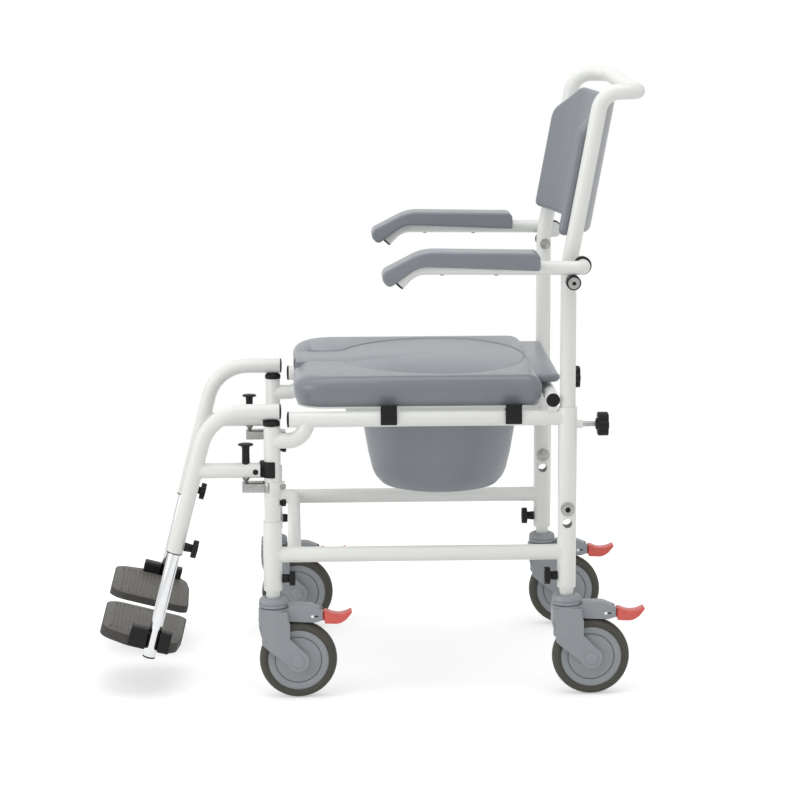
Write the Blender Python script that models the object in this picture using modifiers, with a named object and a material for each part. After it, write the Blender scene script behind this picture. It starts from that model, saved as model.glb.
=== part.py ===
"""A wheeled commode chair: a shower and toilet chair on four braked casters.

Metres, Z up, the floor at Z = 0. The sitter faces -Y and has +X at the left hand.
Distances called "back" are measured rearwards from the axis of the front posts.
"""

import math

import bmesh
import bpy
from mathutils import Matrix, Vector

# Clearances and roundness
GAP = 0.0003
RUNNING = 0.0003
TUBE_SIDES = 12
SMALL_SIDES = 8
PIN_SIDES = 8
BEND_STEP = math.radians(30)
FINE_BEND_STEP = math.radians(15)
PAST = 0.002

# Frame
HALF_TRACK = 0.230
FRONT_POST_Y = -0.1567
WHEELBASE = 0.473
LEG_RADIUS = 0.015
TUBE_RADIUS = 0.0125
TUBE_WALL = 0.002
LEG_BOTTOM = 0.177
FRONT_LEG_TOP = 0.289
REAR_LEG_TOP = 0.471
POST_TOP = 0.4507
BUSH_RADIUS = 0.0133
BUSH_CHAMFER = 0.001
BUSH_TOP_RADIUS = 0.0093
BUSH_BOTTOM = 0.4447
LOWER_RAIL_Z = 0.234
SEAT_RAIL_Z = 0.454
SEAT_RAIL_FRONT = 0.028
ELBOW_Z = 0.420
ELBOW_BACK = 0.056
ELBOW_TURN = 0.030
POST_BORE_TOP = 0.415
RAIL_END_WALL = 0.010
UPRIGHT_SHOULDER = 0.006
HOLE_RADIUS = 0.0075
HOLE_Z = 0.283
CROSS_TUBE_RADIUS = 0.011
FRONT_CROSS_BACK = 0.035
REAR_CROSS_BACK = 0.4487
REAR_CROSS_Z = 0.4839
CROSS_REST_HALF_LENGTH = 0.007
CROSS_REST_HALF_WIDTH = 0.006
REAR_CROSS_HALF = HALF_TRACK + 0.013
CROSS_TUBE_WALL = 0.0015

# Clamping knobs
KNOB_ROD_RADIUS = 0.004
LEG_KNOB_Z = 0.195
LEG_KNOB_STEM_RADIUS = 0.00725
LEG_KNOB_STEM = 0.0115
LEG_KNOB_HEAD = 0.0095
FRONT_KNOB_RADIUS = 0.012
REAR_KNOB_RADIUS = 0.014
HAND_KNOB_Z = 0.443
HAND_KNOB_BOSS_RADIUS = 0.0065
HAND_KNOB_BOSS = 0.009
HAND_KNOB_NECK = 0.024
HAND_KNOB_HEAD = 0.017
HAND_KNOB_RADIUS = 0.019
HAND_KNOB_LOBE = 0.0015
HAND_KNOB_LOBES = 6

# Casters, from the swivel axis
STEM_RADIUS = 0.011
STEM_TOP = 0.262
COLLAR_RADIUS = 0.023
COLLAR_BOTTOM = 0.1485
COLLAR_TOP = 0.1655
COLLAR_LIP = 0.0035
KINGPIN_RADIUS = 0.005
KINGPIN_LENGTH = 0.019
WHEEL_RADIUS = 0.0625
WHEEL_BACK = 0.040
TYRE_HALF_WIDTH = 0.016
RIM_RADIUS = 0.049
RIM_HALF_WIDTH = 0.0125
HUB_RADIUS = 0.012
WHEEL_HUB_HALF = 0.0172
WHEEL_STEPS = 18
CAVITY_STEPS = 16
AXLE_RADIUS = 0.004
AXLE_CAP_RADIUS = 0.0105
AXLE_CAP = 0.001
FORK_HALF_WIDTH = 0.024
FORK_INSIDE = 0.0176
FORK_NECK_RADIUS = 0.0237
FORK_BOSS_RADIUS = 0.018
CHEEK_TOP = 0.1285
WHEEL_ROOM = 0.002
BRAKE_ARM_HALF_WIDTH = 0.013
BRAKE_SLOT_HALF_WIDTH = 0.0063
BRAKE_SLOT_FRONT = 0.0489
BRAKE_SLOT_TOP = 0.1462
BRAKE_PIN_RADIUS = 0.0025
BRAKE_PIN = (0.0630, 0.1346)
BRAKE_PIN_PROUD = 0.0005
BRAKE_SLOT_BOTTOM = 0.110
PEDAL_HALF_WIDTH = 0.012
PEDAL_ROOT_RADIUS = 0.009
FORK_NECK_BOTTOM = 0.120
FORK_REAR = 0.100
# Side outlines about the swivel axis and the floor: back, height
FORK_FRONT_EDGE = ((-0.0237, 0.1295), (-0.0185, 0.119), (-0.0185, 0.091), (-0.0074, 0.0806))
FORK_REAR_EDGE = ((0.027, 0.0994), (0.027, 0.1245), (0.0237, 0.130))
BRAKE_ARM_LOW = ((0.010, 0.1240), (0.067, 0.1240), (0.0793, 0.1277))
BRAKE_ARM_HIGH = ((0.0798, 0.1442, 0.002), (0.059, 0.1530, 0.030), (0.0262, 0.1530))
PEDAL_NECK = ((0.084, 0.1262), (0.084, 0.1408), (0.074, 0.1430))
PEDAL_BLADE = (
    (0.0819, 0.1425),
    (0.0826, 0.1250),
    (0.0991, 0.1225),
    (0.1120, 0.1272),
    (0.1210, 0.1352),
    (0.1264, 0.1405),
    (0.1253, 0.1433),
    (0.1168, 0.1392),
    (0.1077, 0.1357),
    (0.1000, 0.1368),
    (0.0915, 0.1404),
)
TYRE_SHOULDER = 0.004

# Back frame and backrest
UPRIGHT_BOTTOM = 0.4113
LEAN_Z = 0.696
LEAN = 0.185
HANDLE_Z = 0.972
HANDLE_REACH = 0.0579
HANDLE_BACK = WHEELBASE + LEAN * (HANDLE_Z - LEAN_Z) + HANDLE_REACH
HANDLE_BEND = 0.034
HANDLE_CORNER = 0.029
LEAN_BEND = 0.150
BACKREST_HALF_WIDTH = HALF_TRACK - 0.001
BACKREST_SAG = 0.060
BACKREST_THICKNESS = 0.017
BACKREST_BOTTOM = 0.0465
BACKREST_LOW_CORNER = 0.008
BACKREST_TOP = 0.265
BACKREST_SHOULDER = 0.2165
BACKREST_TOP_HALF = BACKREST_HALF_WIDTH - 0.079
BACKREST_EDGE = 0.0012
BACKREST_STEPS = 12
BACKREST_SOFTNESS = 0.005

# Armrests
ARM_X = HALF_TRACK + 0.058
ARM_TUBE_RADIUS = 0.011
ARM_PIVOT_BACK = WHEELBASE + 0.019
ARM_Z = 0.7015
ARM_INNER_X = HALF_TRACK + 0.0322
ARM_CORNER = 0.016
ARM_LENGTH = 0.2676
ARM_RISE = 0.0025
ARM_NOSE_CORNER = ARM_PIVOT_BACK - ARM_LENGTH
ARM_NOSE_REACH = 0.0237
ARM_NOSE_DROP = 0.0245
ARM_NOSE_BEND = 0.045
ARM_PAD_HALF_WIDTH = 0.0285
ARM_PAD_SOFTNESS = 0.006
# Arm pad outline from the arm tube's nose corner: back, up, corner radius
ARM_PAD_OUTLINE = (
    (0.1969, -0.0010, 0.002),
    (0.1969, 0.0265, 0.009),
    (0.0136, 0.0297, 0.070),
    (-0.0580, -0.0082, 0.012),
    (-0.0379, -0.0255, 0.006),
    (0.0086, 0.0065, 0.040),
)
PIVOT_BOSS_RADIUS = 0.0125
PIVOT_RING_RADIUS = 0.0143
PIVOT_RING_X = HALF_TRACK + 0.020
ARM_SPIGOT_LENGTH = 0.008
STOP_BACK = WHEELBASE + 0.002
STOP_RING_RADIUS = 0.0115
STOP_RING_X = HALF_TRACK + 0.046
STOP_RING_LENGTH = 0.0225
STOP_BOLT_RADIUS = 0.005
STOP_HEAD_RADIUS = 0.009
STOP_HEAD = 0.003
STOP_NUT = 0.007

# Leg rests
HANGER_TOP_Z = 0.467
HANGER_REAR = 0.013
HANGER_BEND = 0.070
HANGER_SLOPE = 0.258
HANGER_AXIS_BACK = -0.1565
HANGER_AXIS_Z = 0.2415
HANGER_BOTTOM_Z = 0.240
STRUT_Z = 0.3725
STRUT_END = -0.020
STRUT_RADIUS = 0.0122
PIVOT_RADIUS = 0.006
PIVOT_BOTTOM = 0.425
SADDLE_BOTTOM = 0.3616
SADDLE_TOP = 0.3877
SADDLE_WALL = 0.0019
SADDLE_FRONT = 0.0197
SADDLE_REAR = 0.0053
LATCH_BACK = -0.0413
LATCH_PIN_RADIUS = 0.003
LATCH_STEM_RADIUS = 0.006
LATCH_HEAD_RADIUS = 0.012
LATCH_HEAD_BOTTOM = 0.4116
LATCH_HEAD_TOP = 0.4165
LATCH_SEAT = 0.003
BRACKET_BOTTOM = 0.3375
BRACKET_TOP = 0.3536
BRACKET_FRONT = -0.0474
BRACKET_HALF_WIDTH = 0.009
BRACKET_WALL = 0.0028
BRACKET_LUG = 0.021
BRACKET_LUG_HALF_WIDTH = 0.005
INNER_TUBE_RADIUS = 0.010
INNER_TUBE_WALL = 0.0015
INNER_TUBE_TOP = 0.320
INNER_TUBE_BOTTOM = 0.067
INNER_TUBE_END = 0.004
LENGTH_KNOB_Z = 0.252
LENGTH_KNOB_STEM_RADIUS = 0.007
LENGTH_KNOB_STEM = 0.013
LENGTH_KNOB_HEAD = 0.009
LENGTH_KNOB_RADIUS = 0.0145

# Footplates, from the hinge axis on the leg rest tube
FOOT_HINGE_Z = 0.106
FOOT_INNER_X = 0.032
FOOT_OUTER = 0.008
FOOT_FRONT = -0.086
FOOT_REAR = 0.050
FOOT_OUTER_REAR = 0.028
FOOT_REAR_BEND = (-0.050, 0.046)
FOOT_TOP = -0.011
FOOT_THICKNESS = 0.0145
FOOT_NOTCH_HALF = 0.0115
FOOT_NOTCH_INNER = 0.012
FOOT_NOTCH_REACH = 0.050
FOOT_BLOCKS = ((-0.0385, -0.0100), (0.0100, 0.0285))
FOOT_BLOCK_INNER = 0.0135
FOOT_BLOCK_OUTER = 0.013
FOOT_BLOCK_TOP = 0.007
FOOT_BLOCK_BELOW = 0.0005
FOOT_PIN_RADIUS = 0.003
FOOT_RIBS = 9
FOOT_RIB_WIDTH = 0.006
FOOT_RIB_HEIGHT = 0.0016
FOOT_RIB_MARGIN = 0.012
FOOT_RIB_INNER_MARGIN = 0.010
FOOT_RIB_OUTER = 0.020
FOOT_FIRST_RIB_STEP = 0.014
FOOT_LAST_RIB_STEP = 0.020
FOOT_PIN_INSET = 0.003

# Seat
SEAT_FRONT = 0.036
SEAT_REAR = WHEELBASE - 0.039
SEAT_HALF_WIDTH = HALF_TRACK - 0.004
SEAT_TOP = 0.520
SEAT_CORNER = 0.050
SEAT_REAR_CORNER = 0.020
SEAT_SOFTNESS = 0.014
PAD_BOTTOM = 0.4725
BASE_BOTTOM = 0.4694
BASE_INSET = 0.002
NOTCH_HEIGHT = 0.007
NOTCH_LOW_HALF = 0.021
NOTCH_HIGH_HALF = 0.016
NOTCH_DEPTH = 0.010
TAB_HALF_WIDTH = SEAT_HALF_WIDTH - 0.046
TAB_REAR = WHEELBASE - 0.008
TAB_ROOT = 0.012
TAB_BOTTOM = 0.502
TAB_TOP = 0.515
TAB_CORNER = 0.012
TAB_SOFTNESS = 0.007
OPENING_BACK = SEAT_REAR - 0.149
OPENING_HALF_WIDTH = SEAT_HALF_WIDTH - 0.036
OPENING_REAR = 0.136
OPENING_FRONT = OPENING_BACK - SEAT_FRONT - 0.073
OPENING_PAST_FRONT = 0.020
INSERT_BEHIND_FRONT = 0.004
OPENING_STEPS = 14
NECK_HALF_WIDTH = 0.057
NECK_FLARE = 0.020
INSERT_CLEARANCE = 0.0012
INSERT_TOP = 0.515
INSERT_SOFTNESS = 0.006
BUCKET_BACK = SEAT_REAR - 0.155
BASE_HOLE_RADIUS = 0.118
CLIP_BACKS = (SEAT_FRONT + 0.1508, SEAT_REAR - 0.048)
CLIP_LENGTH = 0.026
CLIP_WALL = 0.0032
CLIP_LOW = 0.4475
CLIP_HIGH = 0.478
CLIP_TAB = 0.0022
RUNNER_INNER = 0.1495
RUNNER_WALL = 0.0025
RUNNER_LEDGE = 0.0125
RUNNER_FRONT = SEAT_FRONT + 0.084
RUNNER_REAR = SEAT_REAR - 0.006
RUNNER_BITE = 0.001
RUNNER_BOTTOM = 0.446
RUNNER_LEDGE_THICKNESS = 0.003

# Bucket
BUCKET_WALL = 0.0025
BUCKET_FLANGE_RADIUS = 0.146
BUCKET_FLANGE = 0.003
BUCKET_STEPS = 24
BUCKET_MOUTH_RADIUS = 0.134
BUCKET_BOTTOM = 0.3030
BUCKET_BASE_RADIUS = 0.082
# Outside of the wall from below the rim to the bottom: radius, height
BUCKET_SIDE = (
    (0.1255, 0.3980),
    (0.1185, 0.3580),
    (0.1120, 0.3290),
    (0.1062, 0.3175),
    (0.0960, 0.3063),
)

SIDES = (("left", 1), ("right", -1))
MATERIALS = {
    "frame_paint": ("#eef0ec", 0.35, 0.0),
    "seat_foam": ("#8d9299", 0.60, 0.0),
    "board_plastic": ("#e6e8e6", 0.45, 0.0),
    "bucket_plastic": ("#7f858e", 0.45, 0.0),
    "caster_plastic": ("#8b9198", 0.50, 0.0),
    "tyre_rubber": ("#4d4c43", 0.80, 0.0),
    "pedal_plastic": ("#d9584e", 0.45, 0.0),
    "black_plastic": ("#24262a", 0.55, 0.0),
    "zinc": ("#a9aaa6", 0.40, 1.0),
    "chrome": ("#cfd1d3", 0.15, 1.0),
    "footplate_plastic": ("#3a3835", 0.70, 0.0),
}

parts = bpy.data.collections.new("wheeled_commode_chair")
cutters = bpy.data.collections.new("cutters")


def clear_scene():
    for obj in list(bpy.data.objects):
        bpy.data.objects.remove(obj, do_unlink=True)
    for collection in (parts, cutters):
        bpy.context.scene.collection.children.link(collection)


def linear(hex_colour):
    """A hex screen colour as linear red, green, blue and alpha."""
    channels = [int(hex_colour[i : i + 2], 16) / 255 for i in (1, 3, 5)]
    return [c / 12.92 if c <= 0.04045 else ((c + 0.055) / 1.055) ** 2.4 for c in channels] + [1.0]


def make_materials():
    for name, (colour, roughness, metallic) in MATERIALS.items():
        material = bpy.data.materials.new(name)
        material.use_nodes = True
        shader = material.node_tree.nodes["Principled BSDF"]
        shader.inputs["Base Color"].default_value = linear(colour)
        shader.inputs["Roughness"].default_value = roughness
        shader.inputs["Metallic"].default_value = metallic


def at(x, back, z):
    return Vector((x, FRONT_POST_Y + back, z))


# Working objects stay hidden from renders until finish() turns one into a part.
def working(data):
    obj = bpy.data.objects.new("working", data)
    obj.hide_render = True
    obj.display_type = "WIRE"
    cutters.objects.link(obj)
    return obj


def from_bmesh(bm, matrix=None):
    bmesh.ops.remove_doubles(bm, verts=bm.verts, dist=1e-6)
    if matrix is not None:
        bm.transform(matrix)
    bmesh.ops.recalc_face_normals(bm, faces=bm.faces)
    # Recalculating can leave a short slanted rod inside out, and then it would cut nothing.
    if bm.calc_volume(signed=True) < 0:
        bmesh.ops.reverse_faces(bm, faces=bm.faces)
    mesh = bpy.data.meshes.new("working")
    bm.to_mesh(mesh)
    bm.free()
    return working(mesh)


def baked(obj, matrix=None, flat=False):
    """The evaluated shape of an object as a plain welded mesh; the source object is removed."""
    bpy.context.view_layer.update()
    graph = bpy.context.evaluated_depsgraph_get()
    mesh = bpy.data.meshes.new_from_object(obj.evaluated_get(graph))
    bm = bmesh.new()
    bm.from_mesh(mesh)
    bpy.data.objects.remove(obj, do_unlink=True)
    bmesh.ops.remove_doubles(bm, verts=bm.verts, dist=1e-6)
    if flat:
        bmesh.ops.dissolve_limit(bm, angle_limit=math.radians(1), verts=bm.verts, edges=bm.edges)
    return from_bmesh(bm, matrix)


def rod(start, end, radius, sides=TUBE_SIDES, end_radius=None):
    """A round bar between two points, or a cone where the end radius differs."""
    along = end - start
    bm = bmesh.new()
    bmesh.ops.create_cone(
        bm,
        cap_ends=True,
        segments=sides,
        radius1=radius,
        radius2=radius if end_radius is None else end_radius,
        depth=along.length,
    )
    turn = Vector((0, 0, 1)).rotation_difference(along).to_matrix().to_4x4()
    return from_bmesh(bm, Matrix.Translation((start + end) / 2) @ turn)


def drill(start, end, radius, sides=TUBE_SIDES):
    """A cutter for a round hole: its flats, not its corners, lie at the radius."""
    return rod(start, end, radius / math.cos(math.pi / sides), sides)


def block(low, high, matrix=None):
    """A box between two corners."""
    low = Vector(low)
    high = Vector(high)
    bm = bmesh.new()
    bmesh.ops.create_cube(bm, size=1)
    place = Matrix.Translation((low + high) / 2) @ Matrix.Diagonal((*(high - low), 1))
    return from_bmesh(bm, place if matrix is None else matrix @ place)


def corner_arc(before, corner, after, radius, step):
    """The points that turn one corner of a path with an arc, or the bare corner at radius 0."""
    if not radius:
        return [corner]
    into = (corner - before).normalized()
    out = (after - corner).normalized()
    turn = into.angle(out)
    inward = (out - into * into.dot(out)).normalized()
    centre = corner - into * radius * math.tan(turn / 2) + inward * radius
    steps = max(1, math.ceil(round(turn / step, 3)))
    angles = [turn * i / steps for i in range(steps + 1)]
    return [centre - inward * radius * math.cos(a) + into * radius * math.sin(a) for a in angles]


def rounded_path(corners, radii, step=BEND_STEP):
    path = [corners[0]]
    for before, corner, after, radius in zip(corners, corners[1:], corners[2:], radii):
        path += corner_arc(before, corner, after, radius, step)
    return path + [corners[-1]]


def rounded_outline(corners, step=BEND_STEP):
    """A closed flat outline from (x, y, corner radius) entries."""
    points = [Vector(corner[:2]) for corner in corners]
    outline = []
    for i, corner in enumerate(corners):
        radius = corner[2] if len(corner) > 2 else 0
        after = points[(i + 1) % len(points)]
        outline += corner_arc(points[i - 1], points[i], after, radius, step)
    return outline


def tube(path, radius, sides=TUBE_SIDES):
    """A solid round bar along a path of points."""
    curve = bpy.data.curves.new("path", "CURVE")
    curve.dimensions = "3D"
    curve.bevel_depth = radius
    curve.bevel_resolution = (sides - 4) // 2
    curve.use_fill_caps = True
    spline = curve.splines.new("POLY")
    spline.points.add(len(path) - 1)
    for point, place in zip(spline.points, path):
        point.co = (*place, 1)
    return baked(working(curve))


def plate(outline, thickness, matrix=None):
    """A flat outline given an even thickness about its own plane."""
    curve = bpy.data.curves.new("outline", "CURVE")
    curve.dimensions = "2D"
    curve.fill_mode = "BOTH"
    curve.extrude = thickness / 2
    spline = curve.splines.new("POLY")
    spline.points.add(len(outline) - 1)
    for point, place in zip(spline.points, outline):
        point.co = (place[0], place[1], 0, 1)
    spline.use_cyclic_u = True
    return baked(working(curve), matrix, flat=True)


def level_plate(outline, bottom, top):
    """A plate lying level; its outline is in x and back."""
    return plate(outline, top - bottom, Matrix.Translation(at(0, 0, (bottom + top) / 2)))


def side_plate(outline, half_width, x=0.0, y=0.0):
    """A plate standing along Y; its outline is in y and z, and its middle lies at x."""
    turn = Matrix(((0, 0, 1, x), (1, 0, 0, y), (0, 1, 0, 0), (0, 0, 0, 1)))
    return plate(outline, 2 * half_width, turn)


def turned(profile, steps, matrix=None):
    """A profile of (radius, height) entries turned about Z. An open one starts and ends on the axis."""
    bm = bmesh.new()
    verts = [bm.verts.new((radius, 0, height)) for radius, height in profile]
    for first, second in zip(verts, verts[1:]):
        bm.edges.new((first, second))
    if profile[0][0] > 0:
        bm.edges.new((verts[-1], verts[0]))
    mesh = bpy.data.meshes.new("profile")
    bm.to_mesh(mesh)
    bm.free()
    obj = working(mesh)
    screw = obj.modifiers.new("turn", "SCREW")
    screw.steps = steps
    screw.render_steps = steps
    screw.use_merge_vertices = True
    screw.merge_threshold = 1e-5
    return baked(obj, matrix)


def combine(target, tools, operation):
    for tool in tools:
        modifier = target.modifiers.new(operation.lower(), "BOOLEAN")
        modifier.operation = operation
        modifier.object = tool
        target = baked(target)
        bpy.data.objects.remove(tool, do_unlink=True)
    return target


def joined(target, *tools):
    return combine(target, tools, "UNION")


def cut(target, *tools):
    return combine(target, tools, "DIFFERENCE")


def softened(obj, width, segments=2, edge=None):
    """Rounded edges: all sharp ones, or those whose two ends pass the test."""
    bm = bmesh.new()
    bm.from_mesh(obj.data)
    bpy.data.objects.remove(obj, do_unlink=True)
    sharp = [e for e in bm.edges if len(e.link_faces) == 2 and e.calc_face_angle() > math.radians(40)]
    if edge is not None:
        sharp = [e for e in sharp if edge(e.verts[0].co) and edge(e.verts[1].co)]
    bmesh.ops.bevel(
        bm,
        geom=sharp,
        offset=width,
        segments=segments,
        profile=0.5,
        affect="EDGES",
        clamp_overlap=True,
    )
    return from_bmesh(bm)


def finish(obj, name, material, origin, parent=None):
    """Turns a working object into a named part whose origin is the given point."""
    mesh = obj.data
    bpy.data.objects.remove(obj, do_unlink=True)
    mesh.transform(Matrix.Translation(-Vector(origin)))
    mesh.shade_smooth()
    mesh.set_sharp_from_angle(angle=math.radians(35))
    mesh.materials.clear()
    mesh.materials.append(bpy.data.materials[material])
    return placed(mesh, name, origin, parent)


def placed(mesh, name, origin, parent=None):
    """A part that shows a mesh at a place; several parts may share one mesh."""
    mesh.name = name
    part = bpy.data.objects.new(name, mesh)
    part.location = origin
    part.parent = parent
    parts.objects.link(part)
    return part


def side_frame(side):
    """Front post and rear leg with the seat rail, lower rail and elbow welded between them."""
    x = side * HALF_TRACK
    outside = joined(
        rod(at(x, 0, LEG_BOTTOM), at(x, 0, FRONT_LEG_TOP), LEG_RADIUS),
        rod(at(x, 0, FRONT_LEG_TOP - PAST), at(x, 0, POST_TOP), TUBE_RADIUS),
        rod(at(x, 0, BUSH_BOTTOM), at(x, 0, POST_TOP), BUSH_RADIUS),
        rod(
            at(x, 0, POST_TOP - PAST),
            at(x, 0, HANGER_TOP_Z - TUBE_RADIUS - GAP),
            BUSH_RADIUS - BUSH_CHAMFER,
            end_radius=BUSH_TOP_RADIUS,
        ),
        rod(at(x, 0, LOWER_RAIL_Z), at(x, WHEELBASE, LOWER_RAIL_Z), TUBE_RADIUS),
        rod(at(x, WHEELBASE, LEG_BOTTOM), at(x, WHEELBASE, REAR_LEG_TOP), LEG_RADIUS),
        rod(at(x, SEAT_RAIL_FRONT, SEAT_RAIL_Z), at(x, WHEELBASE, SEAT_RAIL_Z), TUBE_RADIUS),
        tube(
            rounded_path(
                [at(x, 0, ELBOW_Z), at(x, ELBOW_BACK, ELBOW_Z), at(x, ELBOW_BACK, SEAT_RAIL_Z)],
                [ELBOW_TURN],
            ),
            TUBE_RADIUS,
        ),
        rod(
            at(x, WHEELBASE, HAND_KNOB_Z),
            at(x, WHEELBASE + LEG_RADIUS + HAND_KNOB_BOSS, HAND_KNOB_Z),
            HAND_KNOB_BOSS_RADIUS,
            SMALL_SIDES,
        ),
        block(
            at(x - CROSS_REST_HALF_WIDTH, REAR_CROSS_BACK - CROSS_REST_HALF_LENGTH, SEAT_RAIL_Z),
            at(
                x + CROSS_REST_HALF_WIDTH,
                REAR_CROSS_BACK + CROSS_REST_HALF_LENGTH,
                REAR_CROSS_Z - CROSS_TUBE_RADIUS - GAP,
            ),
        ),
    )
    inside = TUBE_RADIUS - TUBE_WALL
    stem_room = STEM_RADIUS + RUNNING
    wall = LEG_RADIUS + PAST
    knob_room = KNOB_ROD_RADIUS + RUNNING
    seat_rail_blind = WHEELBASE - LEG_RADIUS - RAIL_END_WALL
    rear_step = UPRIGHT_BOTTOM - GAP
    holes = (
        drill(at(x, 0, LEG_BOTTOM - PAST), at(x, 0, FRONT_LEG_TOP - LEG_RADIUS / 2), stem_room),
        drill(at(x, 0, LEG_BOTTOM), at(x, 0, POST_BORE_TOP), inside, SMALL_SIDES),
        drill(at(x, 0, LEG_BOTTOM), at(x, 0, HANGER_TOP_Z), PIVOT_RADIUS + RUNNING, SMALL_SIDES),
        drill(
            at(x, WHEELBASE, LEG_BOTTOM - PAST),
            at(x, WHEELBASE, rear_step - UPRIGHT_SHOULDER),
            stem_room,
        ),
        drill(at(x, WHEELBASE, rear_step), at(x, WHEELBASE, REAR_LEG_TOP + PAST), TUBE_RADIUS + RUNNING),
        drill(at(x, 0, LOWER_RAIL_Z), at(x, WHEELBASE, LOWER_RAIL_Z), inside, SMALL_SIDES),
        drill(
            at(x, SEAT_RAIL_FRONT - PAST, SEAT_RAIL_Z),
            at(x, seat_rail_blind, SEAT_RAIL_Z),
            inside,
            SMALL_SIDES,
        ),
        drill(at(x - wall, WHEELBASE, HOLE_Z), at(x + wall, WHEELBASE, HOLE_Z), HOLE_RADIUS),
        drill(at(x, 0, LEG_KNOB_Z), at(x, wall, LEG_KNOB_Z), knob_room, SMALL_SIDES),
        drill(at(x, WHEELBASE, LEG_KNOB_Z), at(x, WHEELBASE - wall, LEG_KNOB_Z), knob_room, SMALL_SIDES),
        drill(
            at(x, WHEELBASE, HAND_KNOB_Z),
            at(x, WHEELBASE + wall + HAND_KNOB_BOSS, HAND_KNOB_Z),
            knob_room,
            SMALL_SIDES,
        ),
    )
    return cut(outside, *holes)


def make_frame():
    for word, side in SIDES:
        x = side * HALF_TRACK
        finish(side_frame(side), f"side_frame_{word}", "frame_paint", at(x, 0, LEG_BOTTOM))
    cross_tube("front_cross_tube", HALF_TRACK - TUBE_RADIUS - GAP, FRONT_CROSS_BACK, LOWER_RAIL_Z)
    cross_tube("rear_cross_tube", REAR_CROSS_HALF, REAR_CROSS_BACK, REAR_CROSS_Z)


def cross_tube(name, half_length, back, z):
    """A hollow tube from side to side."""
    across = Vector((half_length, 0, 0))
    past = Vector((PAST, 0, 0))
    middle = at(0, back, z)
    bore = CROSS_TUBE_RADIUS - CROSS_TUBE_WALL
    shape = cut(
        rod(middle - across, middle + across, CROSS_TUBE_RADIUS),
        drill(middle - across - past, middle + across + past, bore, SMALL_SIDES),
    )
    finish(shape, name, "frame_paint", middle)


def clamp_knob(inner, face, outward, sizes, name, head_radius, lobes=0, lobe=0.0):
    """A threaded rod from inner, a stem from face and a round or lobed head, along outward."""
    stem_radius, stem, head = sizes
    start = face + outward * GAP
    top = start + outward * stem
    knob = joined(
        rod(inner, top + outward * head / 2, KNOB_ROD_RADIUS, SMALL_SIDES),
        rod(start, top + outward * head / 2, stem_radius, SMALL_SIDES),
    )
    if lobes:
        count = lobes * 6
        angles = [2 * math.pi * i / count for i in range(count)]
        radii = [head_radius + lobe * math.cos(lobes * a) for a in angles]
        outline = [(r * math.cos(a), r * math.sin(a)) for r, a in zip(radii, angles)]
        turn = Vector((0, 0, 1)).rotation_difference(outward).to_matrix().to_4x4()
        middle = Matrix.Translation(top + outward * head / 2)
        knob = joined(knob, plate(outline, head, middle @ turn))
    else:
        knob = joined(knob, rod(top, top + outward * head, head_radius, TUBE_SIDES))
    return finish(knob, name, "black_plastic", inner)


def make_leg_knobs():
    rearward = Vector((0, 1, 0))
    sizes = (LEG_KNOB_STEM_RADIUS, LEG_KNOB_STEM, LEG_KNOB_HEAD)
    for word, side in SIDES:
        for end, back, outward, radius in (
            ("front", 0, rearward, FRONT_KNOB_RADIUS),
            ("rear", WHEELBASE, -rearward, REAR_KNOB_RADIUS),
        ):
            axis = at(side * HALF_TRACK, back, LEG_KNOB_Z)
            inner = axis + outward * (STEM_RADIUS + GAP)
            face = axis + outward * LEG_RADIUS
            clamp_knob(inner, face, outward, sizes, f"leg_knob_{end}_{word}", radius)


def make_hand_knobs():
    rearward = Vector((0, 1, 0))
    sizes = (KNOB_ROD_RADIUS, HAND_KNOB_NECK, HAND_KNOB_HEAD)
    for word, side in SIDES:
        axis = at(side * HALF_TRACK, WHEELBASE, HAND_KNOB_Z)
        inner = axis + rearward * (TUBE_RADIUS + GAP)
        face = axis + rearward * (LEG_RADIUS + HAND_KNOB_BOSS)
        clamp_knob(
            inner,
            face,
            rearward,
            sizes,
            f"back_knob_{word}",
            HAND_KNOB_RADIUS,
            HAND_KNOB_LOBES,
            HAND_KNOB_LOBE,
        )


def caster_stem():
    """Plated stem, swivel collar and the kingpin below it, about the swivel axis."""
    profile = [
        (0, STEM_TOP),
        (STEM_RADIUS, STEM_TOP),
        (STEM_RADIUS, COLLAR_TOP),
        (COLLAR_RADIUS - COLLAR_LIP, COLLAR_TOP),
        (COLLAR_RADIUS, COLLAR_TOP - COLLAR_LIP),
        (COLLAR_RADIUS, COLLAR_BOTTOM),
        (KINGPIN_RADIUS, COLLAR_BOTTOM),
        (KINGPIN_RADIUS, COLLAR_BOTTOM - KINGPIN_LENGTH),
        (0, COLLAR_BOTTOM - KINGPIN_LENGTH),
    ]
    return turned(profile, TUBE_SIDES)


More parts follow.
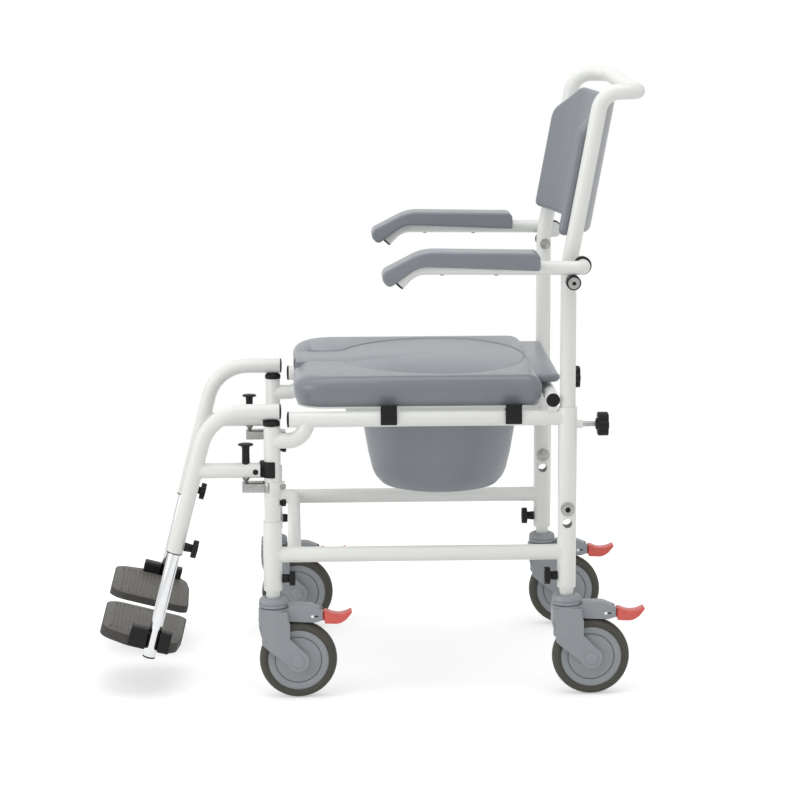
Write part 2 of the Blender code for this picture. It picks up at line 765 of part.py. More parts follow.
def caster_fork():
    """Swivel head, two cheeks down to the axle and the brake housing reaching back."""
    top = COLLAR_BOTTOM - GAP
    hub_y = WHEEL_BACK
    boss = [
        (
            hub_y + FORK_BOSS_RADIUS * math.cos(math.radians(a)),
            WHEEL_RADIUS + FORK_BOSS_RADIUS * math.sin(math.radians(a)),
        )
        for a in range(200, 421, 44)
    ]
    cheeks = [
        (FORK_FRONT_EDGE[0][0], top),
        *FORK_FRONT_EDGE,
        *boss,
        *FORK_REAR_EDGE,
        (FORK_REAR_EDGE[-1][0], top),
    ]
    arm_front = BRAKE_ARM_LOW[0][0]
    step = BRAKE_ARM_HIGH[-1][0]
    arm = rounded_outline([*BRAKE_ARM_LOW, *BRAKE_ARM_HIGH, (step, top), (arm_front, top)])
    neck = rod(Vector((0, 0, FORK_NECK_BOTTOM)), Vector((0, 0, top)), FORK_NECK_RADIUS)
    above = block((-FORK_REAR, -FORK_REAR, CHEEK_TOP), (FORK_REAR, FORK_REAR, COLLAR_TOP))
    fork = cut(side_plate(cheeks, FORK_HALF_WIDTH), above)
    fork = joined(fork, neck, side_plate(arm, BRAKE_ARM_HALF_WIDTH))
    hub = Vector((0, hub_y, WHEEL_RADIUS))
    across = Vector((1, 0, 0))
    room = WHEEL_RADIUS + WHEEL_ROOM
    pin = Vector((0, *BRAKE_PIN))
    fork = cut(
        fork,
        drill(hub - across * FORK_INSIDE, hub + across * FORK_INSIDE, room, CAVITY_STEPS),
        block(
            (-BRAKE_SLOT_HALF_WIDTH, BRAKE_SLOT_FRONT, BRAKE_SLOT_BOTTOM),
            (BRAKE_SLOT_HALF_WIDTH, FORK_REAR, BRAKE_SLOT_TOP),
        ),
        drill(
            Vector((0, 0, top - KINGPIN_LENGTH - PAST)),
            Vector((0, 0, top + PAST)),
            KINGPIN_RADIUS + RUNNING,
            SMALL_SIDES,
        ),
    )
    cap_start = FORK_INSIDE + PAST
    cap = FORK_HALF_WIDTH + AXLE_CAP
    pin_half = BRAKE_ARM_HALF_WIDTH + BRAKE_PIN_PROUD
    return joined(
        fork,
        rod(hub - across * FORK_HALF_WIDTH, hub + across * FORK_HALF_WIDTH, AXLE_RADIUS, SMALL_SIDES),
        rod(hub + across * cap_start, hub + across * cap, AXLE_CAP_RADIUS),
        rod(hub - across * cap_start, hub - across * cap, AXLE_CAP_RADIUS),
        rod(pin - across * pin_half, pin + across * pin_half, BRAKE_PIN_RADIUS, PIN_SIDES),
    )


def wheel_turn():
    """Turns a profile's axis from Z to X and puts a flat of the wheel's outline on the floor."""
    half_step = Matrix.Rotation(math.pi / WHEEL_STEPS, 4, "Z")
    return Matrix.Rotation(math.pi / 2, 4, "Y") @ half_step


def caster_rim():
    axle_room = (AXLE_RADIUS + RUNNING) / math.cos(math.pi / WHEEL_STEPS)
    profile = [
        (RIM_RADIUS, RIM_HALF_WIDTH),
        (RIM_RADIUS, -RIM_HALF_WIDTH),
        (HUB_RADIUS, -RIM_HALF_WIDTH),
        (HUB_RADIUS, -WHEEL_HUB_HALF),
        (axle_room, -WHEEL_HUB_HALF),
        (axle_room, WHEEL_HUB_HALF),
        (HUB_RADIUS, WHEEL_HUB_HALF),
        (HUB_RADIUS, RIM_HALF_WIDTH),
    ]
    return turned(profile, WHEEL_STEPS, wheel_turn())


def caster_tyre():
    # The facets touch the floor with their middles, so their corners stand a little further out.
    facet = 1 / math.cos(math.pi / WHEEL_STEPS)
    inner = RIM_RADIUS + GAP * facet
    half = TYRE_HALF_WIDTH
    outer = WHEEL_RADIUS * facet
    profile = [
        (outer, 0.6 * half),
        (outer, -0.6 * half),
        (outer - TYRE_SHOULDER, -half),
        (inner, -0.9 * half),
        (inner, 0.9 * half),
        (outer - TYRE_SHOULDER, half),
    ]
    return turned(profile, WHEEL_STEPS, wheel_turn())


def brake_pedal():
    """Red toe pedal with the narrow root that turns on the pin inside the brake housing."""
    y, z = BRAKE_PIN
    radius = PEDAL_ROOT_RADIUS
    angles = [math.radians(a) for a in range(90, 271, 30)]
    root = [(y + radius * math.cos(a), z + radius * math.sin(a)) for a in angles]
    root += PEDAL_NECK
    pin = Vector((0, y, z))
    across = Vector((PEDAL_HALF_WIDTH, 0, 0))
    pedal = joined(
        side_plate(root, BRAKE_SLOT_HALF_WIDTH - RUNNING), side_plate(PEDAL_BLADE, PEDAL_HALF_WIDTH)
    )
    return cut(pedal, drill(pin - across, pin + across, BRAKE_PIN_RADIUS + RUNNING, PIN_SIDES))


def make_casters():
    hub = Vector((0, WHEEL_BACK, WHEEL_RADIUS))
    pin = Vector((0, *BRAKE_PIN))
    pieces = (
        ("stem", caster_stem(), "chrome", Vector((0, 0, COLLAR_BOTTOM))),
        ("fork", caster_fork(), "caster_plastic", Vector((0, 0, COLLAR_BOTTOM))),
        ("rim", caster_rim(), "caster_plastic", hub),
        ("tyre", caster_tyre(), "tyre_rubber", hub),
        ("brake_pedal", brake_pedal(), "pedal_plastic", pin),
    )
    meshes = []
    for word, shape, material, origin in pieces:
        mesh = shape.data
        bpy.data.objects.remove(shape, do_unlink=True)
        if word not in ("rim", "tyre"):
            mesh.transform(Matrix.Translation(-origin))
        mesh.shade_smooth()
        mesh.set_sharp_from_angle(angle=math.radians(35))
        mesh.materials.append(bpy.data.materials[material])
        meshes.append((word, mesh, origin))
    for end, back in (("front", 0), ("rear", WHEELBASE)):
        for side_word, side in SIDES:
            caster = bpy.data.objects.new(f"caster_{end}_{side_word}", None)
            caster.location = at(side * HALF_TRACK, back, 0)
            parts.objects.link(caster)
            for word, mesh, origin in meshes:
                placed(mesh, f"caster_{word}_{end}_{side_word}", origin, caster)


def upright_back(z):
    """Distance back of an upright's axis at a height."""
    return WHEELBASE + max(0, z - LEAN_Z) * LEAN


def make_back_frame():
    """One tube: up from the left leg, over the push handle and down to the right leg."""
    corners = []
    for side in (1, -1):
        x = side * HALF_TRACK
        half = [
            at(x, WHEELBASE, UPRIGHT_BOTTOM),
            at(x, WHEELBASE, LEAN_Z),
            at(x, upright_back(HANDLE_Z), HANDLE_Z),
            at(x, HANDLE_BACK, HANDLE_Z),
        ]
        corners += half if side > 0 else half[::-1]
    radii = [LEAN_BEND, HANDLE_BEND, HANDLE_CORNER]
    path = rounded_path(corners, radii + radii[::-1])
    frame = tube(path, TUBE_RADIUS)
    stop_z = ARM_Z - ARM_TUBE_RADIUS - GAP - STOP_RING_RADIUS
    for _, side in SIDES:
        across = Vector((side, 0, 0))
        pivot = at(0, ARM_PIVOT_BACK, ARM_Z)
        start = pivot + across * (HALF_TRACK - TUBE_RADIUS / 2)
        ring = pivot + across * PIVOT_RING_X
        ring_end = pivot + across * (ARM_INNER_X - GAP)
        spigot_end = ring_end + across * ARM_SPIGOT_LENGTH
        spigot_radius = (ARM_TUBE_RADIUS - TUBE_WALL) * math.cos(math.pi / SMALL_SIDES) - RUNNING
        frame = joined(
            frame,
            rod(start, ring + across * PAST, PIVOT_BOSS_RADIUS),
            rod(ring, ring_end, PIVOT_RING_RADIUS),
            rod(ring_end - across * PAST, spigot_end, spigot_radius, SMALL_SIDES),
        )
        stop = at(0, STOP_BACK, stop_z)
        frame = cut(
            frame,
            drill(
                stop + across * (HALF_TRACK - 2 * TUBE_RADIUS),
                stop + across * (HALF_TRACK + 2 * TUBE_RADIUS),
                STOP_BOLT_RADIUS + RUNNING,
                SMALL_SIDES,
            ),
        )
    inside = tube(extended(path, PAST), TUBE_RADIUS - TUBE_WALL, SMALL_SIDES)
    finish(cut(frame, inside), "back_frame", "frame_paint", at(0, WHEELBASE, UPRIGHT_BOTTOM))


def extended(path, by):
    """A path made a little longer at both ends."""
    first = path[0] + (path[0] - path[1]).normalized() * by
    last = path[-1] + (path[-1] - path[-2]).normalized() * by
    return [first] + path[1:-1] + [last]


def make_arm_stops():
    """Bolt through the upright whose rubber ring carries the lowered armrest."""
    stop_z = ARM_Z - ARM_TUBE_RADIUS - GAP - STOP_RING_RADIUS
    for word, side in SIDES:
        across = Vector((side, 0, 0))
        axis = at(0, STOP_BACK, stop_z)
        nut = HALF_TRACK - TUBE_RADIUS - GAP
        ring = STOP_RING_X
        ring_end = ring + STOP_RING_LENGTH
        stop = joined(
            rod(axis + across * (nut - STOP_NUT), axis + across * ring_end, STOP_BOLT_RADIUS, SMALL_SIDES),
            rod(axis + across * (nut - STOP_NUT), axis + across * nut, STOP_HEAD_RADIUS, 6),
            rod(axis + across * ring, axis + across * ring_end, STOP_RING_RADIUS),
            rod(
                axis + across * (ring_end - PAST),
                axis + across * (ring_end + STOP_HEAD),
                STOP_HEAD_RADIUS,
            ),
        )
        finish(stop, f"arm_stop_{word}", "black_plastic", axis + across * ring)


def backrest_matrix():
    """Height along the leaning uprights from where they start to lean, with Y square to them."""
    turn = Matrix.Rotation(-math.atan(LEAN), 4, "X")
    return Matrix.Translation(at(0, WHEELBASE, LEAN_Z)) @ turn


def make_backrest():
    """Padded panel, hollow towards the sitter, whose side edges lie on the uprights."""
    sag = BACKREST_SAG
    radius = (BACKREST_HALF_WIDTH**2 + sag**2) / (2 * sag)
    half_angle = math.asin(BACKREST_HALF_WIDTH / radius)
    edge_rear = -TUBE_RADIUS - BACKREST_EDGE
    centre = edge_rear + sag - radius
    count = BACKREST_STEPS
    angles = [half_angle * (2 * i / count - 1) for i in range(count + 1)]
    rear = [(radius * math.sin(a), centre + radius * math.cos(a)) for a in angles]
    inner = radius - BACKREST_THICKNESS
    front = [(inner * math.sin(a), centre + inner * math.cos(a)) for a in reversed(angles)]
    height = BACKREST_TOP - BACKREST_BOTTOM
    slab = plate(rear + front, height, Matrix.Translation((0, 0, (BACKREST_TOP + BACKREST_BOTTOM) / 2)))
    half = []
    for sign in (1, -1):
        corners = [
            (sign * BACKREST_HALF_WIDTH, BACKREST_BOTTOM - PAST, BACKREST_LOW_CORNER),
            (sign * BACKREST_HALF_WIDTH, BACKREST_SHOULDER, 0.020),
            (sign * BACKREST_TOP_HALF, BACKREST_TOP + PAST, 0.020),
        ]
        half += corners if sign > 0 else corners[::-1]
    upright = Matrix(((1, 0, 0, 0), (0, 0, -1, 0), (0, 1, 0, 0), (0, 0, 0, 1)))
    shape = plate(rounded_outline(half), 2 * BACKREST_HALF_WIDTH, upright)
    panel = softened(combine(slab, [shape], "INTERSECT"), BACKREST_SOFTNESS)
    panel.data.transform(backrest_matrix())
    finish(panel, "backrest", "seat_foam", backrest_matrix().translation)


def arm_path(side, rear_x=ARM_INNER_X):
    """From the pivot outwards, forwards under the pad and down at the nose."""
    x = side * ARM_X
    return rounded_path(
        [
            at(side * rear_x, ARM_PIVOT_BACK, ARM_Z),
            at(x, ARM_PIVOT_BACK, ARM_Z),
            at(x, ARM_NOSE_CORNER, ARM_Z + ARM_RISE),
            at(x, ARM_NOSE_CORNER - ARM_NOSE_REACH, ARM_Z + ARM_RISE - ARM_NOSE_DROP),
        ],
        [ARM_CORNER, ARM_NOSE_BEND],
    )


def make_armrests():
    pad_outline = rounded_outline(
        [(ARM_NOSE_CORNER + back, ARM_Z + up, radius) for back, up, radius in ARM_PAD_OUTLINE]
    )
    for word, side in SIDES:
        pivot = at(side * HALF_TRACK, ARM_PIVOT_BACK, ARM_Z)
        path = arm_path(side)
        arm = tube(path, ARM_TUBE_RADIUS)
        bore = tube(extended(path, PAST), ARM_TUBE_RADIUS - TUBE_WALL, SMALL_SIDES)
        finish(cut(arm, bore), f"arm_tube_{word}", "frame_paint", pivot)
        pad = side_plate(pad_outline, ARM_PAD_HALF_WIDTH, side * ARM_X, FRONT_POST_Y)
        pad = softened(pad, ARM_PAD_SOFTNESS)
        groove = (ARM_TUBE_RADIUS + GAP) / math.cos(math.pi / TUBE_SIDES)
        pad = cut(pad, tube(extended(path, PAST), groove))
        finish(pad, f"arm_pad_{word}", "seat_foam", pivot)


def tube_axis(side, z):
    """The point at a height on the axis of the inclined leg rest tube."""
    return at(side * HALF_TRACK, HANGER_AXIS_BACK + (z - HANGER_AXIS_Z) * HANGER_SLOPE, z)


DOWN_TUBE = Vector((0, -HANGER_SLOPE, -1)).normalized()
BEHIND_TUBE = Vector((0, 1, -HANGER_SLOPE)).normalized()


def make_hangers():
    """Swing-away leg rest: bent tube, strut to the post, hinge pin and the boss of its clamp."""
    for word, side in SIDES:
        x = side * HALF_TRACK
        rear_end = at(x, HANGER_REAR, HANGER_TOP_Z)
        corner = tube_axis(side, HANGER_TOP_Z)
        low_end = tube_axis(side, HANGER_BOTTOM_Z)
        path = rounded_path([rear_end, corner, low_end], [HANGER_BEND], FINE_BEND_STEP)
        strut_start = tube_axis(side, STRUT_Z)
        latch = at(x, LATCH_BACK, STRUT_Z)
        up = Vector((0, 0, 1))
        clamp = tube_axis(side, LENGTH_KNOB_Z)
        hanger = joined(
            tube(path, TUBE_RADIUS),
            rod(strut_start, at(x, STRUT_END, STRUT_Z), STRUT_RADIUS),
        )
        bore = INNER_TUBE_RADIUS + RUNNING
        bend_reach = HANGER_BEND * math.tan(DOWN_TUBE.angle(Vector((0, -1, 0))) / 2)
        top_end = corner.y + bend_reach
        hanger = cut(
            hanger,
            drill(
                low_end + DOWN_TUBE * PAST,
                corner + DOWN_TUBE * bend_reach,
                bore,
            ),
            drill(
                rear_end + Vector((0, PAST, 0)),
                Vector((x, top_end, HANGER_TOP_Z)),
                TUBE_RADIUS - TUBE_WALL,
                SMALL_SIDES,
            ),
            drill(
                latch - up * 2 * TUBE_RADIUS,
                latch + up * 2 * TUBE_RADIUS,
                LATCH_PIN_RADIUS + RUNNING,
                PIN_SIDES,
            ),
            drill(
                latch + up * (STRUT_RADIUS - LATCH_SEAT),
                latch + up * 2 * TUBE_RADIUS,
                LATCH_STEM_RADIUS + RUNNING,
                SMALL_SIDES,
            ),
            drill(clamp, clamp + BEHIND_TUBE * 2 * TUBE_RADIUS, KNOB_ROD_RADIUS + RUNNING, SMALL_SIDES),
        )
        hanger = joined(
            hanger,
            rod(at(x, 0, PIVOT_BOTTOM), at(x, 0, HANGER_TOP_Z), PIVOT_RADIUS, SMALL_SIDES),
        )
        finish(hanger, f"leg_rest_hanger_{word}", "frame_paint", at(x, 0, HANGER_TOP_Z))


def make_saddles():
    """Black cradle on the strut's end that hugs the front post."""
    inner = TUBE_RADIUS + RUNNING
    outer = inner + SADDLE_WALL
    outline = rounded_outline(
        [
            (-outer, SADDLE_REAR),
            (-outer, -SADDLE_FRONT + GAP, 0.006),
            (outer, -SADDLE_FRONT + GAP, 0.006),
            (outer, SADDLE_REAR),
        ]
    )
    for word, side in SIDES:
        x = side * HALF_TRACK
        place = Matrix.Translation(at(x, 0, (SADDLE_BOTTOM + SADDLE_TOP) / 2))
        saddle = cut(
            plate(outline, SADDLE_TOP - SADDLE_BOTTOM, place),
            drill(at(x, 0, SADDLE_BOTTOM - PAST), at(x, 0, SADDLE_TOP + PAST), inner),
            block(
                at(x - inner * 0.9, 0, SADDLE_BOTTOM - PAST),
                at(x + inner * 0.9, 2 * inner, SADDLE_TOP + PAST),
            ),
        )
        finish(saddle, f"hanger_saddle_{word}", "black_plastic", at(x, 0, SADDLE_BOTTOM))


def make_latches():
    """Spring plunger on the strut and the catch bracket on the front post."""
    for word, side in SIDES:
        x = side * HALF_TRACK
        seat = STRUT_Z + STRUT_RADIUS - LATCH_SEAT + GAP
        profile = [
            (0, LATCH_HEAD_TOP),
            (LATCH_HEAD_RADIUS - 0.002, LATCH_HEAD_TOP),
            (LATCH_HEAD_RADIUS, LATCH_HEAD_BOTTOM + 0.002),
            (LATCH_HEAD_RADIUS, LATCH_HEAD_BOTTOM),
            (LATCH_STEM_RADIUS, LATCH_HEAD_BOTTOM - 0.002),
            (LATCH_STEM_RADIUS, seat),
            (LATCH_PIN_RADIUS, seat),
            (LATCH_PIN_RADIUS, BRACKET_TOP + GAP),
            (0, BRACKET_TOP + GAP),
        ]
        place = at(x, LATCH_BACK, 0)
        pin = turned(profile, SMALL_SIDES, Matrix.Translation(place))
        finish(pin, f"latch_pin_{word}", "black_plastic", at(x, LATCH_BACK, seat))
        inner = TUBE_RADIUS + GAP
        outer = inner + BRACKET_WALL
        lug = BRACKET_LUG_HALF_WIDTH
        middle = (BRACKET_BOTTOM + BRACKET_TOP) / 2
        height = BRACKET_TOP - BRACKET_BOTTOM
        front = rounded_outline(
            [
                (-BRACKET_HALF_WIDTH, 0),
                (-BRACKET_HALF_WIDTH, BRACKET_FRONT, 0.005),
                (BRACKET_HALF_WIDTH, BRACKET_FRONT, 0.005),
                (BRACKET_HALF_WIDTH, 0),
            ]
        )
        bracket = joined(
            rod(at(x, 0, BRACKET_BOTTOM), at(x, 0, BRACKET_TOP), outer),
            plate(front, height, Matrix.Translation(at(x, 0, middle))),
            block(at(x - lug, 0, BRACKET_BOTTOM), at(x + lug, BRACKET_LUG, BRACKET_TOP)),
        )
        bracket = cut(
            bracket,
            drill(at(x, 0, BRACKET_BOTTOM - PAST), at(x, 0, BRACKET_TOP + PAST), inner),
            drill(
                at(x, LATCH_BACK, BRACKET_BOTTOM - PAST),
                at(x, LATCH_BACK, BRACKET_TOP + PAST),
                LATCH_PIN_RADIUS + RUNNING,
                PIN_SIDES,
            ),
        )
        finish(bracket, f"latch_bracket_{word}", "zinc", at(x, 0, BRACKET_BOTTOM))


def make_leg_tubes():
    """Chrome tube that slides in the hanger and carries the footplate."""
    for word, side in SIDES:
        top = tube_axis(side, INNER_TUBE_TOP)
        bottom = tube_axis(side, INNER_TUBE_BOTTOM)
        hinge = tube_axis(side, FOOT_HINGE_Z)
        reach = BEHIND_TUBE * 2 * INNER_TUBE_RADIUS
        leg = cut(
            rod(bottom, top, INNER_TUBE_RADIUS),
            drill(
                bottom - DOWN_TUBE * INNER_TUBE_END,
                top - DOWN_TUBE * PAST,
                INNER_TUBE_RADIUS - INNER_TUBE_WALL,
                SMALL_SIDES,
            ),
            drill(hinge - reach, hinge + reach, FOOT_PIN_RADIUS + RUNNING, PIN_SIDES),
        )
        finish(leg, f"leg_rest_tube_{word}", "chrome", top)
        clamp = tube_axis(side, LENGTH_KNOB_Z)
        clamp_knob(
            clamp + BEHIND_TUBE * (INNER_TUBE_RADIUS + GAP),
            clamp + BEHIND_TUBE * TUBE_RADIUS,
            BEHIND_TUBE,
            (LENGTH_KNOB_STEM_RADIUS, LENGTH_KNOB_STEM, LENGTH_KNOB_HEAD),
            f"length_knob_{word}",
            LENGTH_KNOB_RADIUS,
        )


def make_footplates():
    """Ribbed plate that folds up inwards about a pin through the leg rest tube."""
    for word, side in SIDES:
        hinge = tube_axis(side, FOOT_HINGE_Z)
        columns = (Vector((1, 0, 0)), BEHIND_TUBE, -DOWN_TUBE)
        frame = Matrix.Translation(hinge) @ Matrix(columns).transposed().to_4x4()
        inboard = FOOT_INNER_X - HALF_TRACK
        corners = [
            (inboard, FOOT_FRONT, 0.030),
            (-0.012, FOOT_FRONT, 0.034),
            (FOOT_OUTER, FOOT_FRONT * 0.45, 0.015),
            (FOOT_OUTER, FOOT_OUTER_REAR, 0.012),
            (*FOOT_REAR_BEND, 0.060),
            (inboard, FOOT_REAR, 0.018),
        ]
        corners = [(side * x, y, r) for x, y, r in corners]
        middle = FOOT_TOP - FOOT_THICKNESS / 2
        board = plate(rounded_outline(corners), FOOT_THICKNESS, frame @ Matrix.Translation((0, 0, middle)))
        pitch = (FOOT_REAR - FOOT_FRONT - 2 * FOOT_RIB_MARGIN) / FOOT_RIBS
        ribs = []
        for i in range(FOOT_RIBS):
            middle = FOOT_FRONT + FOOT_RIB_MARGIN + (i + 0.5) * pitch
            inner = inboard + FOOT_RIB_INNER_MARGIN
            outer = -FOOT_RIB_OUTER - FOOT_FIRST_RIB_STEP * (i == 0)
            outer -= FOOT_LAST_RIB_STEP * (i == FOOT_RIBS - 1)
            low = (side * inner, middle - FOOT_RIB_WIDTH / 2, FOOT_TOP - PAST)
            high = (side * outer, middle + FOOT_RIB_WIDTH / 2, FOOT_TOP + FOOT_RIB_HEIGHT)
            xs = sorted((low[0], high[0]))
            ribs.append(block((xs[0], *low[1:]), (xs[1], *high[1:]), frame))
        blocks = []
        for start, end in FOOT_BLOCKS:
            xs = sorted((-side * FOOT_BLOCK_INNER, side * FOOT_BLOCK_OUTER))
            low = (xs[0], start, FOOT_TOP - FOOT_THICKNESS - FOOT_BLOCK_BELOW)
            blocks.append(block(low, (xs[1], end, FOOT_BLOCK_TOP), frame))
        reach = FOOT_NOTCH_REACH
        xs = sorted((-side * FOOT_NOTCH_INNER, side * reach))
        notch = block((xs[0], -FOOT_NOTCH_HALF, -reach), (xs[1], FOOT_NOTCH_HALF, reach), frame)
        pin_start = hinge + BEHIND_TUBE * (FOOT_BLOCKS[0][0] + FOOT_PIN_INSET)
        pin_end = hinge + BEHIND_TUBE * (FOOT_BLOCKS[1][1] - FOOT_PIN_INSET)
        footplate = cut(joined(board, *ribs, *blocks), notch)
        footplate = joined(footplate, rod(pin_start, pin_end, FOOT_PIN_RADIUS, PIN_SIDES))
        finish(footplate, f"footplate_{word}", "footplate_plastic", hinge)


def opening_outline(grow=0.0, front=SEAT_FRONT - OPENING_PAST_FRONT):
    """The keyhole opening: an egg shape with a neck out to the front edge, in x and back."""
    points = []
    for i in range(OPENING_STEPS + 1):
        angle = math.pi * i / OPENING_STEPS
        points.append(
            (
                (OPENING_HALF_WIDTH + grow) * math.cos(angle),
                OPENING_BACK + (OPENING_REAR + grow) * math.sin(angle),
            )
        )
    neck = NECK_HALF_WIDTH + grow
    wide = OPENING_HALF_WIDTH + grow
    deep = OPENING_FRONT + grow
    meet = math.acos(neck / wide)
    flare = []
    for i in range(1, 7):
        angle = meet * i / 7
        flare.append((wide * math.cos(angle), OPENING_BACK - deep * math.sin(angle)))
    turn_back = OPENING_BACK - deep * math.sin(meet) - NECK_FLARE
    right = [*flare, (neck, turn_back), (neck, front)]
    left = [(-x, y) for x, y in right]
    return points + left + right[::-1]


def seat_outline(inset=0.0):
    half = SEAT_HALF_WIDTH - inset
    return rounded_outline(
        [
            (half, SEAT_FRONT + inset, SEAT_CORNER),
            (half, SEAT_REAR - inset, SEAT_REAR_CORNER),
            (-half, SEAT_REAR - inset, SEAT_REAR_CORNER),
            (-half, SEAT_FRONT + inset, SEAT_CORNER),
        ]
    )


def make_seat():
    pad = level_plate(seat_outline(), PAD_BOTTOM, SEAT_TOP)
    pad = softened(pad, SEAT_SOFTNESS, 4, lambda co: co.z > SEAT_TOP - GAP)
    tab = level_plate(
        rounded_outline(
            [
                (TAB_HALF_WIDTH, SEAT_REAR - TAB_ROOT),
                (TAB_HALF_WIDTH, TAB_REAR, TAB_CORNER),
                (-TAB_HALF_WIDTH, TAB_REAR, TAB_CORNER),
                (-TAB_HALF_WIDTH, SEAT_REAR - TAB_ROOT),
            ]
        ),
        TAB_BOTTOM,
        TAB_TOP,
    )
    tab = softened(tab, TAB_SOFTNESS, 2, lambda co: co.z > TAB_TOP - GAP)
    pad = cut(joined(pad, tab), level_plate(opening_outline(), BASE_BOTTOM, SEAT_TOP + PAST))
    for back in CLIP_BACKS:
        notch = [
            (back - NOTCH_LOW_HALF, PAD_BOTTOM - PAST),
            (back + NOTCH_LOW_HALF, PAD_BOTTOM - PAST),
            (back + NOTCH_HIGH_HALF, PAD_BOTTOM + NOTCH_HEIGHT),
            (back - NOTCH_HIGH_HALF, PAD_BOTTOM + NOTCH_HEIGHT),
        ]
        for _, side in SIDES:
            pad = cut(pad, side_plate(notch, NOTCH_DEPTH, side * SEAT_HALF_WIDTH, FRONT_POST_Y))
    middle = at(0, OPENING_BACK, PAD_BOTTOM)
    finish(pad, "seat_pad", "seat_foam", middle)

    inset = INSERT_CLEARANCE
    insert = level_plate(opening_outline(-inset, SEAT_FRONT + INSERT_BEHIND_FRONT), PAD_BOTTOM, INSERT_TOP)
    insert = softened(insert, INSERT_SOFTNESS, 3, lambda co: co.z > INSERT_TOP - GAP)
    finish(insert, "seat_insert", "seat_foam", middle)

    base = level_plate(seat_outline(BASE_INSET), BASE_BOTTOM, PAD_BOTTOM - GAP)
    centre = at(0, BUCKET_BACK, 0)
    hole = rod(
        centre + Vector((0, 0, BASE_BOTTOM - PAST)),
        centre + Vector((0, 0, SEAT_TOP)),
        BASE_HOLE_RADIUS,
        32,
    )
    base = cut(base, hole)
    for _, side in SIDES:
        inner = side * RUNNER_INNER
        outer = side * (RUNNER_INNER + RUNNER_WALL)
        lip = side * (RUNNER_INNER - RUNNER_LEDGE)
        web = sorted((inner, outer))
        ledge = sorted((lip, outer))
        top = RUNNER_BOTTOM + RUNNER_LEDGE_THICKNESS
        bite = BASE_BOTTOM + RUNNER_BITE
        base = joined(
            base,
            block(at(web[0], RUNNER_FRONT, RUNNER_BOTTOM), at(web[1], RUNNER_REAR, bite)),
            block(at(ledge[0], RUNNER_FRONT, RUNNER_BOTTOM), at(ledge[1], RUNNER_REAR, top)),
        )
    finish(base, "seat_base", "board_plastic", at(0, BUCKET_BACK, BASE_BOTTOM))


def make_clips():
    """Saddles under the seat that drop over the seat rails."""
    inner = TUBE_RADIUS + GAP
    outer = inner + CLIP_WALL
    top = BASE_BOTTOM - GAP
    for word, side in SIDES:
        for end, back in zip(("front", "rear"), CLIP_BACKS):
            x = side * HALF_TRACK
            start = back - CLIP_LENGTH / 2
            finish_back = back + CLIP_LENGTH / 2
            saddle = cut(
                block(at(x - outer, start, CLIP_LOW), at(x + outer, finish_back, top)),
                block(
                    at(x - inner, start - PAST, CLIP_LOW - PAST),
                    at(x + inner, finish_back + PAST, SEAT_RAIL_Z + inner),
                ),
            )
            tab = sorted((x + side * outer, x + side * (outer - CLIP_TAB)))
            low = at(tab[0], start, SEAT_RAIL_Z)
            saddle = joined(saddle, block(low, at(tab[1], finish_back, CLIP_HIGH)))
            finish(saddle, f"seat_clip_{end}_{word}", "black_plastic", at(x, back, SEAT_RAIL_Z))


def make_bucket():
    """Round pan hanging by its rim on the runners."""
    rim = RUNNER_BOTTOM + RUNNER_LEDGE_THICKNESS + GAP
    wall = BUCKET_WALL
    outside = [
        (BUCKET_FLANGE_RADIUS, rim),
        (BUCKET_MOUTH_RADIUS, rim),
        *BUCKET_SIDE,
        (BUCKET_BASE_RADIUS, BUCKET_BOTTOM),
        (0, BUCKET_BOTTOM),
    ]
    floor = BUCKET_BOTTOM + wall
    low_radius, low_z = BUCKET_SIDE[-1]
    inside = [(0, floor), (BUCKET_BASE_RADIUS - wall / 4, floor), (low_radius - wall / 2, low_z + wall)]
    inside += [(radius - wall, z) for radius, z in reversed(BUCKET_SIDE[:-1])]
    inside.append((BUCKET_MOUTH_RADIUS - wall, rim + BUCKET_FLANGE))
    profile = inside + [(BUCKET_FLANGE_RADIUS, rim + BUCKET_FLANGE)] + outside
    shell = turned(profile, BUCKET_STEPS, Matrix.Translation(at(0, BUCKET_BACK, 0)))
    finish(shell, "bucket", "bucket_plastic", at(0, BUCKET_BACK, rim))


clear_scene()
make_materials()
make_frame()
make_leg_knobs()
make_casters()
make_back_frame()
make_hand_knobs()
make_backrest()
make_arm_stops()
make_armrests()
make_hangers()
make_saddles()
make_latches()
make_leg_tubes()
make_footplates()
make_seat()
make_clips()
make_bucket()
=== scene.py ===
"""Looks of a wheeled commode chair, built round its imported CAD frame.

Metres, Z up. The sitter faces -Y and has +X at the left hand; the camera stands at +X.
Distances called "back" are measured rearwards from the axis of the front posts.
"""

import math

import bpy
from mathutils import Matrix, Vector


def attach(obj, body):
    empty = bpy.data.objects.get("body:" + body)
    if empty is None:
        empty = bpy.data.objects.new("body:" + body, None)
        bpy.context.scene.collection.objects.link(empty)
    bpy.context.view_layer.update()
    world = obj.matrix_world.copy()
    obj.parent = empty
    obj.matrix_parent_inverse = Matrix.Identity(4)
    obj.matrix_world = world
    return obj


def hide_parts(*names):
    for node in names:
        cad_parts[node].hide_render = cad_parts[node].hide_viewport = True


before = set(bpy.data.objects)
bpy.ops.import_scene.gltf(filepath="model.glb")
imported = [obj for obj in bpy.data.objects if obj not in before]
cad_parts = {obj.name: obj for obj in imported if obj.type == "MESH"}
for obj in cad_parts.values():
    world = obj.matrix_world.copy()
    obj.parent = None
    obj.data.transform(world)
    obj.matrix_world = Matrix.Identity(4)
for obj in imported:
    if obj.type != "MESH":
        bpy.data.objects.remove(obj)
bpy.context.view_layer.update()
bpy.ops.object.select_all(action="DESELECT")


